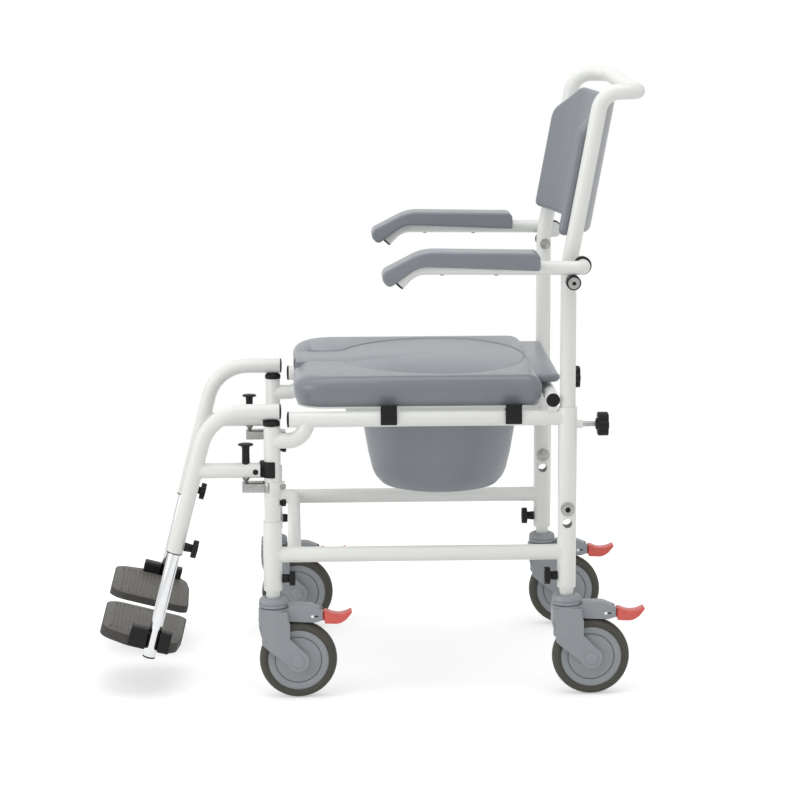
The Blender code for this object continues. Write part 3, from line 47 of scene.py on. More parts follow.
# Camera: a long lens at the chair's left side, slightly above and slightly in front of it,
# at the place that was worked out from like points on the near and the far side.
FRONT_Y = -0.1567
YAW, PITCH, ROLL = math.radians(2.1609), math.radians(9.8928), math.radians(-0.1386)
FOCAL_PIXELS, IMAGE_PIXELS, SENSOR = 2928.55, 800, 36.0
CAMERA_X, CAMERA_BACK, CAMERA_Z = 4.8222, 0.0318, 1.2857
forward = Vector((-math.cos(YAW) * math.cos(PITCH), math.sin(YAW) * math.cos(PITCH), -math.sin(PITCH)))
level = Vector((math.sin(YAW), math.cos(YAW), 0))
upward = level.cross(forward)
right = level * math.cos(ROLL) + upward * math.sin(ROLL)
above = upward * math.cos(ROLL) - level * math.sin(ROLL)
turn = Matrix((right, above, -forward)).transposed()
bpy.ops.object.camera_add(location=(CAMERA_X, CAMERA_BACK + FRONT_Y, CAMERA_Z), rotation=turn.to_euler())
camera = bpy.context.object
camera.data.sensor_width = SENSOR
camera.data.lens = FOCAL_PIXELS * SENSOR / IMAGE_PIXELS
camera.data.clip_end = 100
bpy.context.scene.camera = camera
bpy.context.scene.view_settings.view_transform = "Standard"


# Studio: a pale matt floor that fades into a white surround, a wide lamp overhead and one on the
# camera's side. The camera sees plain white. Reflections also see a dim band on the chair's far
# side, strongest to the rear, as from the black flags that give bright metal its edges.
def linear(code):
    """An sRGB hex colour as linear red, green, blue and alpha."""
    channels = [int(code[i : i + 2], 16) / 255 for i in (1, 3, 5)]
    return [c / 12.92 if c <= 0.04045 else ((c + 0.055) / 1.055) ** 2.4 for c in channels] + [1.0]


def add(tree, kind, settings=None, **links):
    """Adds a node, sets its named properties and inputs, and links its inputs to outputs."""
    node = tree.nodes.new(kind)
    for key, value in (settings or {}).items():
        if hasattr(node, key):
            setattr(node, key, value)
        else:
            node.inputs[int(key) if key.isdigit() else key].default_value = value
    for key, output in links.items():
        name = key.replace("_", " ")
        tree.links.new(output, node.inputs[int(name[1:]) if name[1:].isdigit() else name])
    return node


def shown_directly(tree):
    """1 where the camera, a reflection or clear glass looks straight at the surface."""
    path = add(tree, "ShaderNodeLightPath").outputs
    seen = path["Is Camera Ray"]
    for ray in ("Is Glossy Ray", "Is Transmission Ray"):
        seen = add(tree, "ShaderNodeMath", {"operation": "MAXIMUM"}, i0=seen, i1=path[ray]).outputs[0]
    return seen


SURROUND_LIGHT, FLAG_DIMMING = 0.72, 0.8
FLAG_EDGES = (("X", -0.84, -0.78, 0), ("X", -0.50, -0.60, 0), ("Y", -0.1, 0.1, 0.25))
world = bpy.data.worlds.new("studio")
world.use_nodes = True
bpy.context.scene.world = world
tree = world.node_tree
tree.nodes.clear()
lit = add(tree, "ShaderNodeBackground", {"Color": linear("#ffffff"), "Strength": SURROUND_LIGHT})
way = add(tree, "ShaderNodeSeparateXYZ", Vector=add(tree, "ShaderNodeTexCoord").outputs["Generated"]).outputs
flags = add(tree, "ShaderNodeLightPath").outputs["Is Glossy Ray"]
for axis, start, end, least in FLAG_EDGES:
    fade = {"interpolation_type": "SMOOTHSTEP", "From Min": start, "From Max": end, "To Min": least}
    part = add(tree, "ShaderNodeMapRange", fade, Value=way[axis]).outputs[0]
    flags = add(tree, "ShaderNodeMath", {"operation": "MULTIPLY"}, i0=flags, i1=part).outputs[0]
level_left = add(tree, "ShaderNodeMapRange", {"To Min": 1.0, "To Max": 1 - FLAG_DIMMING}, Value=flags)
seen = add(tree, "ShaderNodeBackground", {"Color": linear("#ffffff")}, Strength=level_left.outputs[0])
mix = add(tree, "ShaderNodeMixShader", Fac=shown_directly(tree), i1=lit.outputs[0], i2=seen.outputs[0])
add(tree, "ShaderNodeOutputWorld", Surface=mix.outputs[0])

FLOOR_SIZE, FLOOR_Z, FLOOR_GLOW, FADE_START, FADE_END = 5.0, -0.0002, 0.42, 1.0, 1.9
bpy.ops.mesh.primitive_plane_add(size=FLOOR_SIZE, location=(0, 0, FLOOR_Z))
floor = bpy.context.object
floor.name = "studio_floor"
bpy.ops.object.transform_apply(location=True, rotation=True, scale=True)
matt = bpy.data.materials.new("matt_studio_floor")
matt.use_nodes = True
tree = matt.node_tree
tree.nodes.clear()
place = add(tree, "ShaderNodeTexCoord").outputs["Object"]
distance = add(tree, "ShaderNodeVectorMath", {"operation": "LENGTH"}, i0=place).outputs["Value"]
fade = {"interpolation_type": "SMOOTHSTEP", "From Min": FADE_START, "From Max": FADE_END}
fade = add(tree, "ShaderNodeMapRange", fade, Value=distance)
paint = add(tree, "ShaderNodeBsdfDiffuse", {"Color": linear("#e9e9e9")})
glow = add(tree, "ShaderNodeEmission", {"Color": linear("#ffffff")})
strength = add(tree, "ShaderNodeMath", {"operation": "MULTIPLY", "1": FLOOR_GLOW}, i0=shown_directly(tree))
tree.links.new(strength.outputs[0], glow.inputs["Strength"])
both = add(tree, "ShaderNodeAddShader", i0=paint.outputs[0], i1=glow.outputs[0])
clear = add(tree, "ShaderNodeBsdfTransparent")
mix = add(tree, "ShaderNodeMixShader", Fac=fade.outputs[0], i1=both.outputs[0], i2=clear.outputs[0])
add(tree, "ShaderNodeOutputMaterial", Surface=mix.outputs[0])
floor.data.materials.append(matt)

for name, spot, aim, size, power in (
    ("overhead_lamp", (0.3, 0.1, 3.2), (0, 0, 0.4), 2.6, 27),
    ("camera_side_lamp", (1.6, -3.7, 1.5), (0, 0, 0.5), 2.4, 38),
):
    facing = (Vector(aim) - Vector(spot)).to_track_quat("-Z", "Y").to_euler()
    bpy.ops.object.light_add(type="AREA", location=spot, rotation=facing)
    lamp = bpy.context.object
    lamp.name = name
    lamp.data.size = size
    lamp.data.energy = power


# Side frames: round steel tubes, welded and then powder coated off-white. The front leg and
# the rear leg are 30 mm tubes for the caster stems; the post, rails and elbow are 25 mm tubes.
HALF_TRACK, WHEELBASE = 0.230, 0.473
LEG_RADIUS, TUBE_RADIUS, WALL = 0.015, 0.0125, 0.0024
LEG_BOTTOM, LEG_TOP_FRONT, LEG_TOP_REAR, POST_TOP = 0.177, 0.289, 0.471, 0.4507
LOWER_RAIL_Z, SEAT_RAIL_Z, SEAT_RAIL_FRONT = 0.234, 0.454, 0.028
ELBOW_Z, ELBOW_BACK, ELBOW_TURN = 0.420, 0.056, 0.030
BEND_STEP = math.radians(6)
POST_ROOT, BEAD_RADIUS, BEAD_ANGLES = 0.02, 0.0012, [2 * math.pi * i / 36 for i in range(36)]
SIDE_WORDS = ("left", "right")


def at(x, back, z):
    """A point given by its distance behind the front posts."""
    return Vector((x, FRONT_Y + back, z))


def only(piece):
    """Makes one piece the only selected and the active one."""
    bpy.ops.object.select_all(action="DESELECT")
    piece.select_set(True)
    bpy.context.view_layer.objects.active = piece
    return piece


def apply_all(piece):
    """Applies the piece's modifiers and its place."""
    only(piece)
    for modifier in list(piece.modifiers):
        bpy.ops.object.modifier_apply(modifier=modifier.name)
    bpy.ops.object.transform_apply(location=True, rotation=True, scale=True)
    return piece


def mode(name):
    """Goes into edit mode or back to object mode."""
    bpy.ops.object.mode_set(mode=name)


def closed(piece):
    """Welds doubles and turns all faces outwards."""
    only(piece)
    mode("EDIT")
    bpy.ops.mesh.select_all(action="SELECT")
    bpy.ops.mesh.remove_doubles(threshold=2e-6)
    bpy.ops.mesh.normals_make_consistent(inside=False)
    mode("OBJECT")
    return piece


def rounded(piece, width=0.0006, segments=2, sharp=32):
    """Rounds the sharp edges, then smooths the shading between the remaining faces."""
    if width:
        bevel = piece.modifiers.new("edge", "BEVEL")
        bevel.width = width
        bevel.segments = segments
        bevel.limit_method = "ANGLE"
        bevel.angle_limit = math.radians(sharp)
        bevel.harden_normals = False
    apply_all(piece)
    bpy.ops.object.shade_smooth_by_angle(angle=math.radians(sharp))
    return piece


def bent(corners, radii, step=BEND_STEP):
    """A path of points whose corners are turned with arcs."""
    path = [Vector(corners[0])]
    for before, corner, after, radius in zip(corners, corners[1:], corners[2:], radii):
        into, out = (corner - before).normalized(), (after - corner).normalized()
        angle = into.angle(out)
        inward = (out - into * into.dot(out)).normalized()
        centre = corner - into * radius * math.tan(angle / 2) + inward * radius
        steps = max(1, math.ceil(angle / step))
        for i in range(steps + 1):
            part = angle * i / steps
            path.append(centre - inward * radius * math.cos(part) + into * radius * math.sin(part))
    return path + [Vector(corners[-1])]


def tube(path, radius, wall=0.0, sides=32, ring=False):
    """A round tube along a path: solid where it has no wall, and without ends as a ring."""
    curve = bpy.data.curves.new("tube", "CURVE")
    curve.dimensions = "3D"
    curve.bevel_depth = radius
    curve.bevel_resolution = (sides - 4) // 2
    curve.use_fill_caps = not (wall or ring)
    spline = curve.splines.new("POLY")
    spline.points.add(len(path) - 1)
    for point, spot in zip(spline.points, path):
        point.co = (*spot, 1)
    spline.use_cyclic_u = ring
    piece = bpy.data.objects.new("tube", curve)
    bpy.context.scene.collection.objects.link(piece)
    only(piece)
    bpy.ops.object.convert(target="MESH")
    piece = closed(bpy.context.object)
    if wall:
        hollow = piece.modifiers.new("wall", "SOLIDIFY")
        hollow.thickness = wall
        hollow.offset = -1
    return piece


def weld_bead(centre, branch, run, branch_radius, run_radius):
    """The fillet of weld where a branch tube leaves a run tube square on; centre is on the run's axis."""
    branch, run = Vector(branch), Vector(run)
    side = branch.cross(run)
    path = []
    for angle in BEAD_ANGLES:
        off = branch_radius * math.cos(angle)
        depth = math.sqrt(max(0.0, run_radius**2 - off**2))
        path.append(centre + side * off + run * branch_radius * math.sin(angle) + branch * depth)
    return tube(path, BEAD_RADIUS, sides=8, ring=True)


def joined(pieces):
    """Several meshes as one object."""
    bpy.ops.object.select_all(action="DESELECT")
    for piece in pieces:
        piece.select_set(True)
    bpy.context.view_layer.objects.active = pieces[0]
    bpy.ops.object.join()
    return pieces[0]


def settle(piece, name, body, paint, *nodes):
    """Names a finished piece, paints it, and makes it ride on its CAD body in place of nodes."""
    slot, material = paint
    piece.name = piece.data.name = name
    piece.data.materials.clear()
    piece.data.materials.append(material)
    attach(piece, body)
    if nodes:
        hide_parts(*nodes)
    return piece


def twin_of(piece):
    """A copy of a piece with its own mesh."""
    twin = piece.copy()
    twin.data = piece.data.copy()
    bpy.context.scene.collection.objects.link(twin)
    return twin


def both_sides(piece, name, body, paint, *nodes):
    """Settles a left piece and its mirrored right twin; {} stands for the side's word."""
    twin = twin_of(piece)
    twin.data.transform(Matrix.Scale(-1, 4, (1, 0, 0)))
    twin.data.flip_normals()
    for word, half in zip(SIDE_WORDS, (piece, twin)):
        settle(half, name.format(word), body.format(word), paint, *[node.format(word) for node in nodes])
    return piece, twin


def surface(slot, name, colour, second, patch, roughness, spread, grain, depth, metallic=0.0, **sockets):
    """A slot and its material: two close colours in soft patches, uneven roughness, a fine grain; in mm."""
    made = bpy.data.materials.new(name)
    made.use_nodes = True
    tree = made.node_tree
    shader = tree.nodes["Principled BSDF"]
    shader.inputs["Metallic"].default_value = metallic
    for key, value in sockets.items():
        shader.inputs[key.replace("_", " ")].default_value = value
    spot = add(tree, "ShaderNodeTexCoord").outputs["Object"]
    cloud = add(tree, "ShaderNodeTexNoise", {"Scale": 1000 / patch, "Detail": 3.0}, Vector=spot).outputs[0]
    tone = add(tree, "ShaderNodeMix", {"data_type": "RGBA"}, Factor=cloud)
    tone.inputs[6].default_value = linear(colour)
    tone.inputs[7].default_value = linear(second)
    tree.links.new(tone.outputs[2], shader.inputs["Base Color"])
    smear = add(tree, "ShaderNodeTexNoise", {"Scale": 3000 / patch, "Detail": 2.0}, Vector=spot).outputs[0]
    range_of_gloss = {"To Min": roughness - spread, "To Max": roughness + spread}
    gloss = add(tree, "ShaderNodeMapRange", range_of_gloss, Value=smear)
    tree.links.new(gloss.outputs[0], shader.inputs["Roughness"])
    fine = add(tree, "ShaderNodeTexNoise", {"Scale": 1000 / grain, "Detail": 2.0}, Vector=spot).outputs[0]
    relief = add(tree, "ShaderNodeBump", {"Strength": 1.0, "Distance": depth / 1000}, Height=fine)
    tree.links.new(relief.outputs[0], shader.inputs["Normal"])
    return slot, made


# Powder-coated steel: a thick even coat with a faint orange peel, half gloss, slightly warm white.
# The real peel is about 1 mm wide and is drawn at 3 mm so that it shows.
frame_paint = surface("frame_paint", "powder_coated_steel", "#eff0ec", "#eaece8", 90, 0.34, 0.05, 3.0, 0.012)

x = HALF_TRACK
leg = rounded(tube([at(x, 0, LEG_BOTTOM), at(x, 0, LEG_TOP_FRONT)], LEG_RADIUS, WALL))
both_sides(leg, "front_leg_{}", "frame", frame_paint, "side_frame_{}")
elbow = [at(x, 0, ELBOW_Z), at(x, ELBOW_BACK, ELBOW_Z), at(x, ELBOW_BACK, SEAT_RAIL_Z)]
for name, route in (
    ("front_post_{}", [at(x, 0, LEG_TOP_FRONT - POST_ROOT), at(x, 0, POST_TOP)]),
    ("lower_rail_{}", [at(x, 0, LOWER_RAIL_Z), at(x, WHEELBASE, LOWER_RAIL_Z)]),
    ("seat_rail_{}", [at(x, SEAT_RAIL_FRONT, SEAT_RAIL_Z), at(x, WHEELBASE, SEAT_RAIL_Z)]),
    ("elbow_tube_{}", bent(elbow, [ELBOW_TURN])),
):
    both_sides(rounded(tube(route, TUBE_RADIUS)), name, "frame", frame_paint)


def cut(piece, cutter):
    """Takes a cutter's shape out of a piece."""
    hole = piece.modifiers.new("cut", "BOOLEAN")
    hole.operation = "DIFFERENCE"
    hole.object = cutter
    apply_all(piece)
    bpy.data.objects.remove(cutter, do_unlink=True)
    return piece


HOLE_RADIUS, HOLE_Z = 0.0075, 0.283
leg = apply_all(tube([at(x, WHEELBASE, LEG_BOTTOM), at(x, WHEELBASE, LEG_TOP_REAR)], LEG_RADIUS, WALL))
drill = [at(x - 2 * LEG_RADIUS, WHEELBASE, HOLE_Z), at(x + 2 * LEG_RADIUS, WHEELBASE, HOLE_Z)]
drill = tube(drill, HOLE_RADIUS, sides=24)
both_sides(rounded(cut(leg, drill)), "rear_leg_{}", "frame", frame_paint)

up, back_way, side_way = Vector((0, 0, 1)), Vector((0, 1, 0)), Vector((1, 0, 0))
HAND_KNOB_Z, BOSS_RADIUS, BOSS_LENGTH = 0.443, 0.0065, 0.009
boss_end = WHEELBASE + LEG_RADIUS + BOSS_LENGTH
boss = rounded(tube([at(x, WHEELBASE + 0.01, HAND_KNOB_Z), at(x, boss_end, HAND_KNOB_Z)], BOSS_RADIUS))
both_sides(boss, "knob_boss_{}", "frame", frame_paint)
beads = [
    weld_bead(at(x, back, z), way, up, radius, LEG_RADIUS)
    for back, z, way, radius in (
        (0, LOWER_RAIL_Z, back_way, TUBE_RADIUS), (WHEELBASE, LOWER_RAIL_Z, -back_way, TUBE_RADIUS),
        (WHEELBASE, SEAT_RAIL_Z, -back_way, TUBE_RADIUS),
        (WHEELBASE, HAND_KNOB_Z, back_way, BOSS_RADIUS),
    )
]
both_sides(rounded(joined(beads), 0), "frame_welds_{}", "frame", frame_paint)


# Cross tubes: 22 mm steel tubes, the front one welded between the lower rails, the rear one
# on two short rests on the seat rails, in front of the uprights, all coated with the frame.
CROSS_RADIUS, FRONT_CROSS_BACK, REAR_CROSS_HALF = 0.011, 0.035, 0.243
REAR_CROSS_BACK, REAR_CROSS_Z, REST_TOP = 0.4487, 0.4839, 0.4726
CROSS_ROOT, PLUG_LIP, REST_WIDTH, REST_LENGTH = 0.008, 0.0015, 0.012, 0.014


def across(half, back, z):
    """A tube's path from side to side."""
    return [at(-half, back, z), at(half, back, z)]


cross = rounded(tube(across(HALF_TRACK - CROSS_ROOT, FRONT_CROSS_BACK, LOWER_RAIL_Z), CROSS_RADIUS))
settle(cross, "front_cross_bar", "frame", frame_paint, "front_cross_tube")
bead = weld_bead(at(x, FRONT_CROSS_BACK, LOWER_RAIL_Z), -side_way, back_way, CROSS_RADIUS, TUBE_RADIUS)
both_sides(rounded(bead, 0), "cross_bar_weld_{}", "frame", frame_paint)
half = REAR_CROSS_HALF - PLUG_LIP
cross = rounded(tube(across(half, REAR_CROSS_BACK, REAR_CROSS_Z), CROSS_RADIUS))
settle(cross, "rear_cross_bar", "frame", frame_paint, "rear_cross_tube")
bpy.ops.mesh.primitive_cube_add(size=1)
rest = bpy.context.object
rest.scale = (REST_WIDTH, REST_LENGTH, REST_TOP - SEAT_RAIL_Z)
rest.location = at(x, REAR_CROSS_BACK, (REST_TOP + SEAT_RAIL_Z) / 2)
both_sides(rounded(rest, 0.0015, 3), "cross_bar_rest_{}", "frame", frame_paint)


# End plugs and post caps: black polyethylene, moulded, pushed into the open tube ends by hand.
# Each plug has a thin domed flange as wide as its tube.
def turned(outline, steps=40):
    """Turns an outline of (radius, height) about Z; an open one starts and ends on the axis."""
    bpy.ops.mesh.primitive_plane_add(size=0.01)
    piece = bpy.context.object
    mode("EDIT")
    bpy.ops.mesh.select_all(action="SELECT")
    bpy.ops.mesh.merge(type="CENTER")
    bpy.ops.transform.translate(value=(outline[0][0], 0, outline[0][1]))
    for (r0, z0), (r1, z1) in zip(outline, outline[1:]):
        bpy.ops.mesh.extrude_vertices_move(TRANSFORM_OT_translate={"value": (r1 - r0, 0, z1 - z0)})
    bpy.ops.mesh.select_all(action="SELECT")
    bpy.ops.mesh.spin(steps=steps, angle=2 * math.pi, center=(0, 0, 0), axis=(0, 0, 1))
    mode("OBJECT")
    return closed(piece)


def standing(piece, origin, axis=(0, 0, 1)):
    """Stands a piece that was made about Z at the origin on another point, along another axis."""
    lean = Vector((0, 0, 1)).rotation_difference(Vector(axis)).to_matrix().to_4x4()
    piece.matrix_world = Matrix.Translation(Vector(origin)) @ lean
    return apply_all(piece)


def fitted(outline, origin, axis=(0, 0, 1), edge=0.0003, steps=40):
    """A turned piece with rounded edges, stood on a point along an axis."""
    return standing(rounded(turned(outline, steps), edge), origin, axis)


def dome(radius, height, rise=0.0015, root=0.004):
    """A plug's outline: a root inside the tube, a flange and a low dome."""
    top = [(radius * math.sin(a), height + rise * math.cos(a)) for a in map(math.radians, range(75, 0, -15))]
    narrow = radius * 0.8
    return [(0, -root), (narrow, -root), (narrow, 0), (radius, 0), (radius, height), *top, (0, height + rise)]


# Black polyethylene: soft satin black moulding with a very fine grain.
black_plastic = surface(
    "black_plastic", "black_moulded_polyethylene", "#101113", "#17181a", 12, 0.46, 0.06, 1.5, 0.02,
    Specular_IOR_Level=0.25,
)
plug = fitted(dome(TUBE_RADIUS, 0.0022), at(x, SEAT_RAIL_FRONT, SEAT_RAIL_Z), -back_way)
both_sides(plug, "seat_rail_plug_{}", "frame", black_plastic)
plug = fitted(dome(CROSS_RADIUS, 0.0012, 0.0008), at(half, REAR_CROSS_BACK, REAR_CROSS_Z), side_way)
both_sides(plug, "rear_cross_bar_plug_{}", "frame", black_plastic)
CAP_RADIUS, CAP_BOTTOM, CAP_SHOULDER, CAP_TOP = 0.0137, 0.4447, 0.4507, 0.4541
cap = [(0, CAP_BOTTOM), (CAP_RADIUS, CAP_BOTTOM), (CAP_RADIUS, CAP_SHOULDER), (0.0118, 0.4528)]
cap += [(0.0093, CAP_TOP), (0.0065, CAP_TOP + 0.0001), (0, CAP_TOP + 0.0001)]
both_sides(fitted(cap, at(x, 0, 0), edge=0.0005), "post_cap_{}", "frame", black_plastic)


# Rear leg bolts: zinc-plated steel socket bolts through each rear leg, with a washer and a nut.
# They clamp the telescopic tubes inside the leg.
BOLT_Z, HEAD_HEIGHT, WASHER = 0.3065, 0.003, 0.0012
ENDS = (("front", 0), ("rear", WHEELBASE))


def hexagon(radius, low, high):
    """A six-sided nut as a slab about Z."""
    corners = [(radius * math.cos(math.pi * i / 3), radius * math.sin(math.pi * i / 3)) for i in range(6)]
    return slab(corners, low, high)


def slab(outline, low, high):
    """A flat outline with thickness from low to high along Z."""
    bpy.ops.mesh.primitive_circle_add(vertices=len(outline), radius=0.01, fill_type="NGON")
    piece = bpy.context.object
    for vertex, (u, v) in zip(piece.data.vertices, outline):
        vertex.co = (u, v, low)
    mode("EDIT")
    bpy.ops.mesh.select_all(action="SELECT")
    bpy.ops.mesh.extrude_region_move(TRANSFORM_OT_translate={"value": (0, 0, high - low)})
    mode("OBJECT")
    return closed(piece)


def socket_bolt(washer_radius, head_radius, head, grip, nut):
    """A socket head and washer at the top, a plain shank, and a washer and nut grip below, about Z."""
    socket, root = head_radius * 0.5, head_radius * 0.7
    top = turned([
        (0, -0.0030), (socket, -0.0030), (socket, WASHER + head), (head_radius * 0.9, WASHER + head),
        (head_radius, WASHER + head * 0.8), (head_radius, WASHER), (washer_radius, WASHER),
        (washer_radius, -0.0002), (root, -0.0002), (root, -0.0040), (0, -0.0040),
    ])
    six = hexagon(washer_radius * 0.78, -grip - WASHER - nut, -grip - 0.0008)
    narrow, end = head_radius * 0.48, -grip - 0.0028 - nut
    shank = turned([(0, end), (narrow, end), (narrow, 0), (0, 0)], 20)
    low, high = -grip - 0.001, -grip + 0.0002
    washer = turned([(0, low), (washer_radius, low), (washer_radius, high), (0, high)])
    return rounded(joined([top, six, shank, washer]), 0.0003)


# Zinc-plated steel: pale grey metal, blotchy between blue-grey and straw, dull where it was rolled.
zinc = surface("zinc", "zinc_plated_steel", "#bfc0bd", "#8a8b88", 5, 0.36, 0.08, 1.5, 0.01, metallic=1.0)


def through_bolt(name, body, spot, washer_radius, head_radius, grip, nut):
    """Settles a bolt that points sideways and a black hexagon in its socket, painted shade for the socket's
    dark bottom.
    """
    bolt = standing(socket_bolt(washer_radius, head_radius, HEAD_HEIGHT, grip, nut), spot, side_way)
    both_sides(bolt, name + "_bolt_{}", body, zinc)
    # Painted shade: the black hexagon in the socket stands in for the shade at the socket's bottom.
    socket_shade = rounded(hexagon(head_radius * 0.5, -0.0005, HEAD_HEIGHT + 0.0004), 0.0001)
    both_sides(standing(socket_shade, spot, side_way), name + "_socket_{}", body, black_plastic)


spot = at(x + LEG_RADIUS, WHEELBASE, BOLT_Z)
through_bolt("rear_leg", "frame", spot, 0.0115, 0.0085, 2 * LEG_RADIUS, 0.006)
bush = [(0.0112, -0.0012), (0.0144, -0.0012), (0.0144, 0.0006)]
bush += [(0.0126, 0.0006), (0.0126, 0.008), (0.0112, 0.008)]
for end, back in ENDS:
    ring = fitted(bush + bush[:1], at(x, back, LEG_BOTTOM))
    both_sides(ring, f"leg_bush_{end}_{{}}", "frame", frame_paint)


# Casters: a coated steel stem, a swivel collar, and a moulded nylon fork with its brake housing.
# Each is modelled once about the swivel axis on the floor and copied to the four legs.
WHEEL_BACK, WHEEL_RADIUS = 0.040, 0.0625
COLLAR_BOTTOM, COLLAR_TOP, COLLAR_RADIUS, STEM_RADIUS = 0.1485, 0.1655, 0.023, 0.011
STEM_BOTTOM, STEM_TOP = 0.150, 0.262
FORK_HALF, FORK_INSIDE, NECK_RADIUS, ARM_HALF = 0.024, 0.0176, 0.0237, 0.013
BRAKE_BACK, BRAKE_Z, PIN_HALF, AXLE = 0.0630, 0.1346, 0.0138, (0, WHEEL_BACK, WHEEL_RADIUS)
SIDE = Matrix(((0, 0, 1, 0), (1, 0, 0, 0), (0, 1, 0, 0), (0, 0, 0, 1)))
CORNERS = [
    (end, word, at(side * HALF_TRACK, back, 0))
    for end, back in ENDS
    for word, side in (("left", 1), ("right", -1))
]


def outline_of(corners, step=math.radians(10)):
    """A closed flat outline from (u, v, corner radius) entries."""
    points = [Vector((*corner[:2], 0)) for corner in corners]
    line = []
    for i, corner in enumerate(corners):
        radius = corner[2] if len(corner) > 2 else 0
        after = points[(i + 1) % len(points)]
        turn = bent([points[i - 1], points[i], after], [radius], step)[1:-1] if radius else [points[i]]
        line += [(point.x, point.y) for point in turn]
    return line


def side_slab(outline, middle, half):
    """A slab that stands along Y and Z, from its (y, z) outline."""
    piece = slab(outline, middle - half, middle + half)
    piece.matrix_world = SIDE
    return apply_all(piece)


def at_casters(piece, name, body, paint, *nodes):
    """Copies a caster piece to all four legs; {} stands for the end's and the side's words."""
    for end, word, spot in CORNERS:
        each = twin_of(piece)
        each.data.transform(Matrix.Translation(spot))
        place = f"{end}_{word}"
        settle(each, name.format(place), body.format(place), paint, *[node.format(place) for node in nodes])
    bpy.data.objects.remove(piece, do_unlink=True)


# Chrome-plated steel: bright mirror metal with faint drawing streaks and fingerprints.
chrome = surface(
    "chrome", "chrome_plated_steel", "#e4e5e6", "#d3d5d7", 30, 0.14, 0.05, 8.0, 0.004, metallic=1.0
)
stem = turned([(0, STEM_BOTTOM), (STEM_RADIUS, STEM_BOTTOM), (STEM_RADIUS, STEM_TOP), (0, STEM_TOP)], 36)
at_casters(rounded(stem, 0.0006), "caster_post_{}", "stem_{}", frame_paint, "caster_stem_{}")

# Glass-filled nylon: blue-grey moulding, satin, with a fine spark-eroded grain drawn at 2 mm.
caster_plastic = surface(
    "caster_plastic", "glass_filled_nylon", "#9a9ea2", "#92969b", 25, 0.42, 0.06, 2.0, 0.02
)
collar = turned([
    (0.0112, COLLAR_BOTTOM + 0.001), (COLLAR_RADIUS - 0.0022, COLLAR_BOTTOM),
    (COLLAR_RADIUS, COLLAR_BOTTOM + 0.0012), (COLLAR_RADIUS + 0.0003, 0.1535),
    (COLLAR_RADIUS - 0.0012, 0.1542), (COLLAR_RADIUS - 0.0012, 0.1549), (COLLAR_RADIUS, 0.1556),
    (COLLAR_RADIUS - 0.0004, 0.1600), (COLLAR_RADIUS - 0.0022, 0.1632),
    (COLLAR_RADIUS - 0.0065, 0.1652), (0.0150, COLLAR_TOP), (0.0145, 0.1645), (0.0120, 0.1645),
    (0.0112, COLLAR_BOTTOM + 0.001),
], 48)
at_casters(rounded(collar, 0.0003), "caster_collar_{}", "stem_{}", caster_plastic)


def arc_points(y, z, radius, start, end, count):
    """Points of an arc in the side view, from a start angle to an end angle in degrees."""
    angles = [math.radians(start + (end - start) * i / count) for i in range(count + 1)]
    return [(y + radius * math.cos(a), z + radius * math.sin(a)) for a in angles]


TOP = COLLAR_BOTTOM - 0.0006
cheek = outline_of([
    (-0.0232, 0.1440, 0.002), (-0.0237, 0.1295, 0.004), (-0.0185, 0.1190, 0.004),
    (-0.0185, 0.0910, 0.004), (-0.0074, 0.0806, 0.003),
    *arc_points(WHEEL_BACK, WHEEL_RADIUS, 0.018, 200, 420, 22),
    (0.0270, 0.0994, 0.003), (0.0270, 0.1245, 0.004), (0.0237, 0.1300, 0.004), (0.0232, 0.1440, 0.002),
])
room = arc_points(WHEEL_BACK, WHEEL_RADIUS, 0.0660, 150, 102, 10)
bridge = room + [(0.0265, 0.1285), (0.0237, 0.1400), (-0.0230, 0.1400), (-0.0230, 0.1180)]
cheek_half = (FORK_HALF - FORK_INSIDE) / 2
cheek_x = FORK_INSIDE + cheek_half
neck = turned([
    (0, 0.1300), (NECK_RADIUS - 0.003, 0.1300), (NECK_RADIUS, 0.1340), (NECK_RADIUS, TOP - 0.0014),
    (NECK_RADIUS - 0.0026, TOP), (0, TOP),
], 48)
arm_outline = outline_of([
    (0.010, 0.1290), (0.030, 0.1258, 0.004), (0.067, 0.1240, 0.010), (0.0793, 0.1277, 0.003),
    (0.0798, 0.1442, 0.003), (0.0590, 0.1530, 0.030), (0.0255, 0.1530, 0.003), (0.0240, 0.1478, 0.001),
    (0.010, 0.1470),
])
housing = side_slab(arm_outline, 0, ARM_HALF)
slot_room = side_slab([(0.0489, 0.110), (0.100, 0.110), (0.100, 0.1462), (0.0489, 0.1462)], 0, 0.0063)
fork = [rounded(side_slab(cheek, middle, cheek_half), 0.0015, 3) for middle in (cheek_x, -cheek_x)]
fork += [rounded(side_slab(bridge, 0, FORK_INSIDE + 0.002), 0.0006), rounded(neck, 0.0006)]
fork = joined([*fork, rounded(cut(housing, slot_room), 0.0016, 3)])
at_casters(fork, "caster_yoke_{}", "fork_{}", caster_plastic, "caster_fork_{}")
cap = [(0, 0.0180), (0.0105, 0.0180), (0.0103, 0.0250), (0.0090, 0.0262), (0.0066, 0.0266), (0, 0.0266)]
caps = [standing(turned(cap, 36), AXLE, (side, 0, 0)) for side in (1, -1)]
caps = rounded(joined(caps), 0.0004)
at_casters(caps, "axle_caps_{}", "fork_{}", caster_plastic)
pin = tube([(-PIN_HALF, BRAKE_BACK, BRAKE_Z), (PIN_HALF, BRAKE_BACK, BRAKE_Z)], 0.0026, sides=20)
pin = rounded(pin, 0.0004)
at_casters(pin, "brake_pin_{}", "fork_{}", chrome)
# Painted shade: a thin black strip on each side of the housing, beside the brake pin, stands in for the shade
# inside the slot there.
slot_shade_outline = [(0.0663, 0.1333), (0.0722, 0.1333), (0.0722, 0.1356), (0.0663, 0.1356)]
slot_shade = [side_slab(slot_shade_outline, side * 0.0128, 0.0004) for side in (1, -1)]
at_casters(rounded(joined(slot_shade), 0.0002), "brake_window_{}", "fork_{}", black_plastic)

